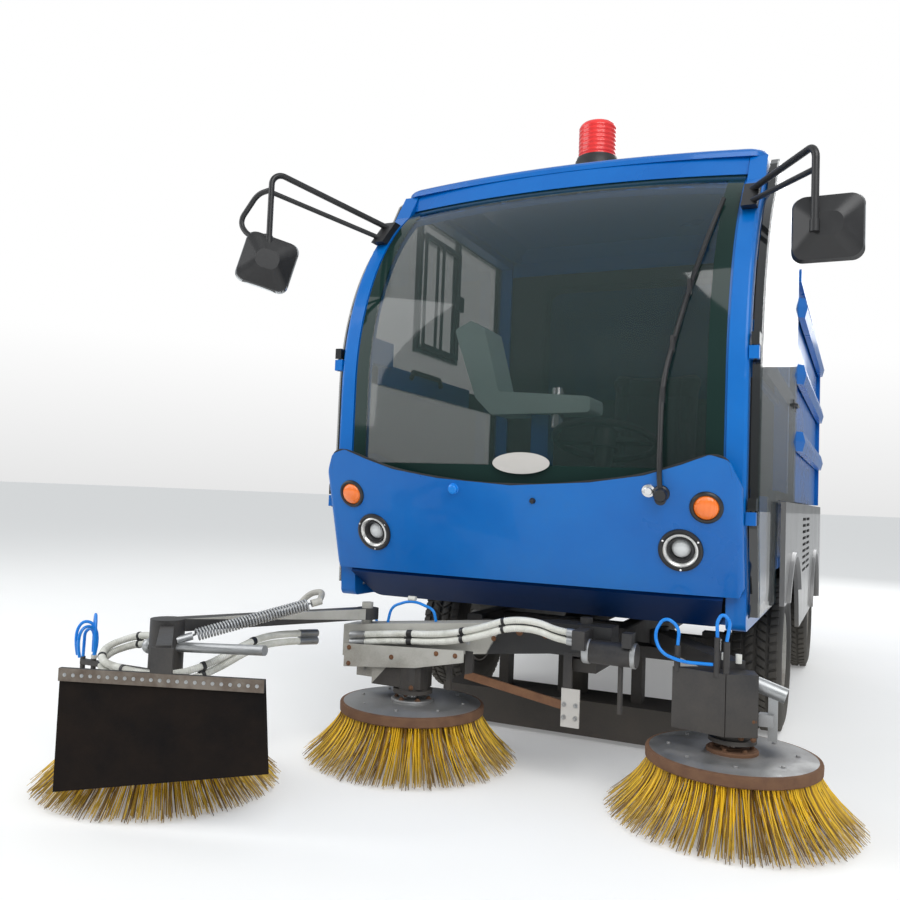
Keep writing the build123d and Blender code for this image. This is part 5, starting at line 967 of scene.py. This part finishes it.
# White hoses: a smooth core, a raised spiral, black ties round each pair and grey end sleeves
hoseSets = (
    # name, body, node, route, places of the ties along it
    ("hoseBeam", "arm_middle", "hose_beam",
     ((-600, -39, 399), (-420, -39, 424), (-240, -43, 436), (-90, -73, 476), (10, -85, 516), (110, -85, 519),
      (180, -79, 494), (233.6, -73, 491)),
     (0.14, 0.34, 0.56)),
    ("hoseOuter", "arm_outer", "hose_outer",
     ((-937, -612, 428), (-1020, -592, 425), (-1092, -590, 410), (-1136, -652, 384), (-1090, -716, 352),
      (-985, -728, 342),
      (-880, -730, 340), (-790, -700, 345), (-735, -610, 372), (-722, -450, 419), (-716, -300, 425),
      (-672, -150, 412)),
     (0.1, 0.32, 0.45, 0.58, 0.72, 0.86)),
)
ringVerts, ringFaces = [], []
for i in range(14):
    angle = 2 * math.pi * i / 14
    for out, along in ((0.0098, -0.0014), (0.0118, 0.0), (0.0098, 0.0014)):
        ringVerts.append((out * math.cos(angle), out * math.sin(angle), along))
for i in range(14):
    j = (i + 1) % 14
    for k in (0, 1):
        ringFaces.append((i * 3 + k, j * 3 + k, j * 3 + k + 1, i * 3 + k + 1))
ringForm = formObject(ringVerts, ringFaces)
for setName, body, node, route, ties in hoseSets:
    form = Form()
    for row in (0, 1):
        path = splinePoints([at(x, y, z - row * 26) for x, y, z in route])
        form.tube(path, 0.0104, "hoseWhite", 14)
        form.mesh(repeatAlong([path], ringForm, 0.0062, "hoseWhite"), "hoseWhite")
        for end in (0, -1):
            step = 1 if end == 0 else -2
            form.tube([path[end], path[step], path[step * 2 if end == 0 else -4]], 0.0135, "galvanised", 14)
        for tie in ties:
            spot = int(tie * (len(path) - 1))
            form.tube([path[spot], path[spot + 1]], 0.0132, "blackPlastic", 16)
    path = splinePoints([at(x, y, z - 13) for x, y, z in route])
    for tie in ties:
        spot = int(tie * (len(path) - 1))
        form.block((0.012, 0.022, 0.03), "blackPlastic",
                   moved(path[spot]) @ towards(path[spot], path[spot + 1]) @ turned("X", 90))
    form.make(setName, body, 50, replaces=(node,))
print("hoses")

# Coil spring of the outer arm, with hooked ends
coilStart, coilEnd = at(-812, -622, 446), at(-570, -345, 540)
coilTurn = moved(coilStart) @ towards(coilStart, coilEnd)
coilLength = (coilEnd - coilStart).length
coil = Form()
coilTurns = 38
coilPoints = [(0, 0, -0.004)]
for i in range(coilTurns * 14 + 1):
    angle = 2 * math.pi * i / 14
    coilPoints.append((0.0165 * math.cos(angle), 0.0165 * math.sin(angle),
                       0.012 + (coilLength - 0.024) * i / (coilTurns * 14)))
coilPoints.append((0, 0, coilLength + 0.004))
coil.tube([coilTurn @ Vector(p) for p in coilPoints], 0.0036, "galvanised", 7)
coil.make("coilSpring", "arm_outer", 60, replaces=("spring_outer",))

# Rivets and bolts of the sweeping gear
flapDegrees, flapReach, flapAside = 20, 363, 141.5
flapTurn = math.radians(flapDegrees)
flapX = -887 + flapReach * math.sin(flapTurn) + flapAside * math.cos(flapTurn)
flapY = -650 - flapReach * math.cos(flapTurn) + flapAside * math.sin(flapTurn)
stripPlace = moved(at(flapX, flapY, 390)) @ turned("Z", flapDegrees) @ moved((0, -0.011, 0)) @ turned("X", 90)
rivets = Form()
rivets.block((0.56, 0.034, 0.002), "stripBrown", stripPlace @ moved((0, 0, 0.0006)))
for i in range(23):
    boltHead(rivets, stripPlace @ moved((-0.262 + i * 0.0238, 0.0, 0.0014)), 0.0052, 0.0034, "galvanised")
rivets.make("flapRivets", "arm_outer")
fittings = Form()
boltPlaces = (
    # place, axis turn about Z then X, size
    ((-507, -34.5, 335), 0, 0.011), ((-470, -34.5, 335), 0, 0.011), ((-540, -34.5, 290), 0, 0.009),
    ((-150, -32, 420), 0, 0.01), ((30, -26, 470), 0, 0.012), ((120, -26, 470), 0, 0.012),
    ((-60, -26, 440), 0, 0.009),
    ((190, -32, 260), 0, 0.008), ((228, -32, 260), 0, 0.008), ((190, -32, 220), 0, 0.008),
    ((228, -32, 220), 0, 0.008),
)
for (x, y, z), turnZ, size in boltPlaces:
    boltHead(fittings, moved(at(x, y, z)) @ turned("X", 90), size, 0.007,
             "rustySteel" if z > 430 else "galvanised")
for x, z in ((-360, 226), (-340, 250)):
    boltHead(fittings, moved(at(x, -64, z)) @ turned("X", 90), 0.009, 0.006, "rustySteel")
for x, lip, wide in ((258, 0.02, 0.022), (408, 0.014, 0.016)):
    collar = [(0.037, 0.0), (0.0385, 0.002), (0.0385, lip), (0.037, wide), (0.0362, lip), (0.0362, 0.002)]
    fittings.lathe(collar, 32, "galvanised", moved(at(x, -58, 440)) @ turned("Y", 90), closed=True)
for x, z in ((-604, 485), (-392, 541)):
    fittings.tube([at(x - 14, 70 if x < -500 else 20, z - 1), at(x + 14, 70 if x < -500 else 20, z - 1)],
                  0.0085, "hoseWhite", 12)
outline = [(-0.61, 0.372), (-0.15, 0.395), (-0.15, 0.356), (-0.33, 0.318), (-0.61, 0.292)]
fittings.plate(outline[::-1], 0.005, "beamPale", moved(at(0, -60, 0)) @ turned("X", 90))
for x, z in ((-0.59, 0.36), (-0.59, 0.305), (-0.42, 0.345), (-0.25, 0.375), (-0.18, 0.375)):
    boltHead(fittings, moved(Vector((x, -0.065, z)) + frameShift) @ turned("X", 90), 0.009, 0.006,
             "rustySteel")
for x in (-0.56, -0.3):
    fittings.block((0.03, 0.04, 0.03), "blackSteel", moved(at(x * 1000, -42, 350)))
fittings.make("beamFittings", "arm_middle")
extra = Form()
for swing, tall in ((35, 0.9), (-40, 1.05), (80, 0.8)):
    base = at(-1185, -650, 342)
    spin = moved(base) @ turned("Z", swing)
    loop = splinePoints([spin @ Vector((x, 0, z * tall)) for x,
                         z in ((0.0, 0.0), (0.012, 0.06), (-0.005, 0.125), (-0.045, 0.13), (-0.062, 0.07),
                               (-0.05, 0.01))])
    extra.tube(loop, 0.005, "tubeBlue", 10)
    extra.tube([loop[0], loop[1]], 0.009, "hoseWhite", 12)
extra.make("outerLoops", "arm_outer")
leftFittings = Form()
for x, y, z in ((678, -66, 470), (718, -66, 470)):
    leftFittings.tube([at(x, -40, z - 20), at(x, -40, z + 6)], 0.009, "hoseWhite", 12)
for x, z in ((735, 300), (768, 300), (735, 250), (768, 250)):
    boltHead(leftFittings, moved(at(x, -93, z)) @ turned("X", 90), 0.009, 0.006, "rustySteel")
leftFittings.make("leftFittings", "arm_left")
print("fittings")

# Beacon: a ribbed red dome on a black foot with a lip
beacon = Form()
beaconPlace = moved(at(0, 800, 2358))
profile = [(0.0, 0.15), (0.05, 0.149), (0.066, 0.145), (0.074, 0.137)]
for rib in range(7):
    top = 0.13 - rib * 0.018
    profile += [(0.0765, top), (0.079, top - 0.004), (0.079, top - 0.01), (0.0765, top - 0.014)]
profile += [(0.079, 0.002), (0.079, 0.0005)]
beacon.lathe(profile, 72, "beaconRed", beaconPlace)
beacon.make("beaconLens", "chassis", 50, replaces=("beacon_lens",))
foot = Form()
foot.lathe([(0.0, 0.0775), (0.08, 0.0775), (0.085, 0.075), (0.087, 0.066), (0.091, 0.06), (0.0945, 0.012),
            (0.107, 0.008), (0.1085, 0.001)],
           72, "blackPlastic", moved(at(0, 800, 2280)))
for i in range(3):
    boltHead(foot, moved(at(0, 800, 2287)) @ turned("Z", 120 * i + 20) @ moved((0.101, 0, 0)), 0.005, 0.004)
foot.make("beaconFoot", "chassis", replaces=("beacon_base",))

# Doors: the same trims on both, a slider frame on each face, an inner rail, a lock block and a handle
doorTrims = {
    # side: body
    -1: "door_right", 1: "door_left",
}
sliderLow, sliderHigh, sliderBar, sliderDepth = 1560, 2050, 0.022, 0.007
sliderMiddle = (sliderLow + sliderHigh) / 2
for side, body in doorTrims.items():
    trims = Form()
    for x in (side * 743, side * 714):
        for y in (645, 1000, 822):
            trims.block((sliderDepth, sliderBar, (sliderHigh - sliderLow) / 1000), "blackPlastic",
                        moved(at(x, y, sliderMiddle)))
        for z in (sliderLow, sliderHigh):
            trims.block((sliderDepth, 0.377, sliderBar), "blackPlastic", moved(at(x, 822, z)))
    trims.block((0.018, 0.86, 0.085), "blueFrame", moved(at(side * 708, 700, 1380)))
    trims.tube([at(side * 694, y, z) for y, z in ((510, 1392), (530, 1424), (780, 1424), (800, 1392))],
               0.011, "blackPlastic", 10)
    trims.block((0.03, 0.16, 0.1), "blueFrame", moved(at(side * 704, 262, 1460)))
    trims.block((0.02, 0.06, 0.07), "blackPlastic", moved(at(side * 703, 990, 1815)))
    trims.block((0.02, 0.14, 0.045), "blackPlastic", moved(at(side * 750, 1440, 1370)))
    trims.tube([at(side * 752, 1380, 1370), at(side * 768, 1395, 1370), at(side * 768, 1480, 1370),
                at(side * 752, 1495, 1370)], 0.008, "blackPlastic", 10)
    for y, z in ((262, 1430), (262, 1490), (120, 900)):
        boltHead(trims, moved(at(side * 720, y, z)) @ turned("Y", -90 * side), 0.008, 0.005)
    trims.make("doorTrims_" + ("left" if side > 0 else "right"), body)
print("doors")

# Seat: a cushion and a back, each swollen by a cloth simulation, with sewn channels pressed in afterwards
pads = (
    # name, size, middle, backward lean, seam lines as (axis, place)
    ("seatCushion", (0.452, 0.442, 0.092), (150, 1130, 955), 0, ((0, -0.13), (0, 0.13), (1, -0.12))),
    ("seatBack", (0.432, 0.078, 0.56), (150, 1366, 1250), -8, ((0, -0.12), (0, 0.12), (2, 0.15))),
)
padCap, seamWidth, seamDepth = 0.024, 0.007, 0.13
for padName, padSize, padMiddle, padLean, seams in pads:
    start = Form()
    start.block(padSize, "seatCloth", bevel=0.032)
    rough = bpy.data.meshes.new(padName)
    rough.from_pydata([tuple(v) for v in start.verts], [], start.faces)
    pad = newObject(padName, rough)
    remesh = pad.modifiers.new("remesh", "REMESH")
    remesh.mode = "VOXEL"
    remesh.voxel_size = 0.006
    bpy.context.view_layer.update()
    even = evaluatedMesh(pad)
    pad.modifiers.clear()
    pad.data = even
    rest = [v.co.copy() for v in even.vertices]
    cloth = pad.modifiers.new("cloth", "CLOTH")
    cloth.settings.use_pressure = True
    cloth.settings.uniform_pressure_force = 4
    cloth.settings.effector_weights.gravity = 0
    for frameNumber in range(1, 21):
        scene.frame_set(frameNumber)
    swollen = evaluatedMesh(pad)
    pad.modifiers.clear()
    for vertex, home in zip(swollen.vertices, rest):
        change = vertex.co - home
        if change.length > padCap:
            vertex.co = home + change.normalized() * padCap
    pad.data = swollen
    scene.frame_set(1)
    thinAxis = 2 if padLean == 0 else 1
    for vertex in pad.data.vertices:
        for axis, seamPlace in seams:
            near = math.exp(-((vertex.co[axis] - seamPlace) / seamWidth) ** 2)
            vertex.co[thinAxis] *= 1 - seamDepth * near
    smooth = pad.modifiers.new("smooth", "SUBSURF")
    smooth.levels = smooth.render_levels = 1
    bpy.context.view_layer.update()
    fine = evaluatedMesh(pad)
    pad.modifiers.clear()
    pad.data = fine
    pad.data.transform(moved(at(*padMiddle)) @ turned("X", padLean))
    pad.data.materials.clear()
    pad.data.materials.append(materials["seatCloth"])
    pad.data.polygons.foreach_set("use_smooth", [True] * len(pad.data.polygons))
    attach(pad, "chassis")
    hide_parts("seat")
print("seat")

# The bright sleeve of the console's post, seen under the console through the windscreen
postSleeve = Form()
postSleeve.lathe([(0.0, 0.16), (0.02, 0.158), (0.024, 0.15), (0.024, 0.004), (0.03, 0.0)], 28, "chrome",
                 moved(at(-30, 470, 1180)))
postSleeve.make("consolePostSleeve", "chassis")
print("console post")
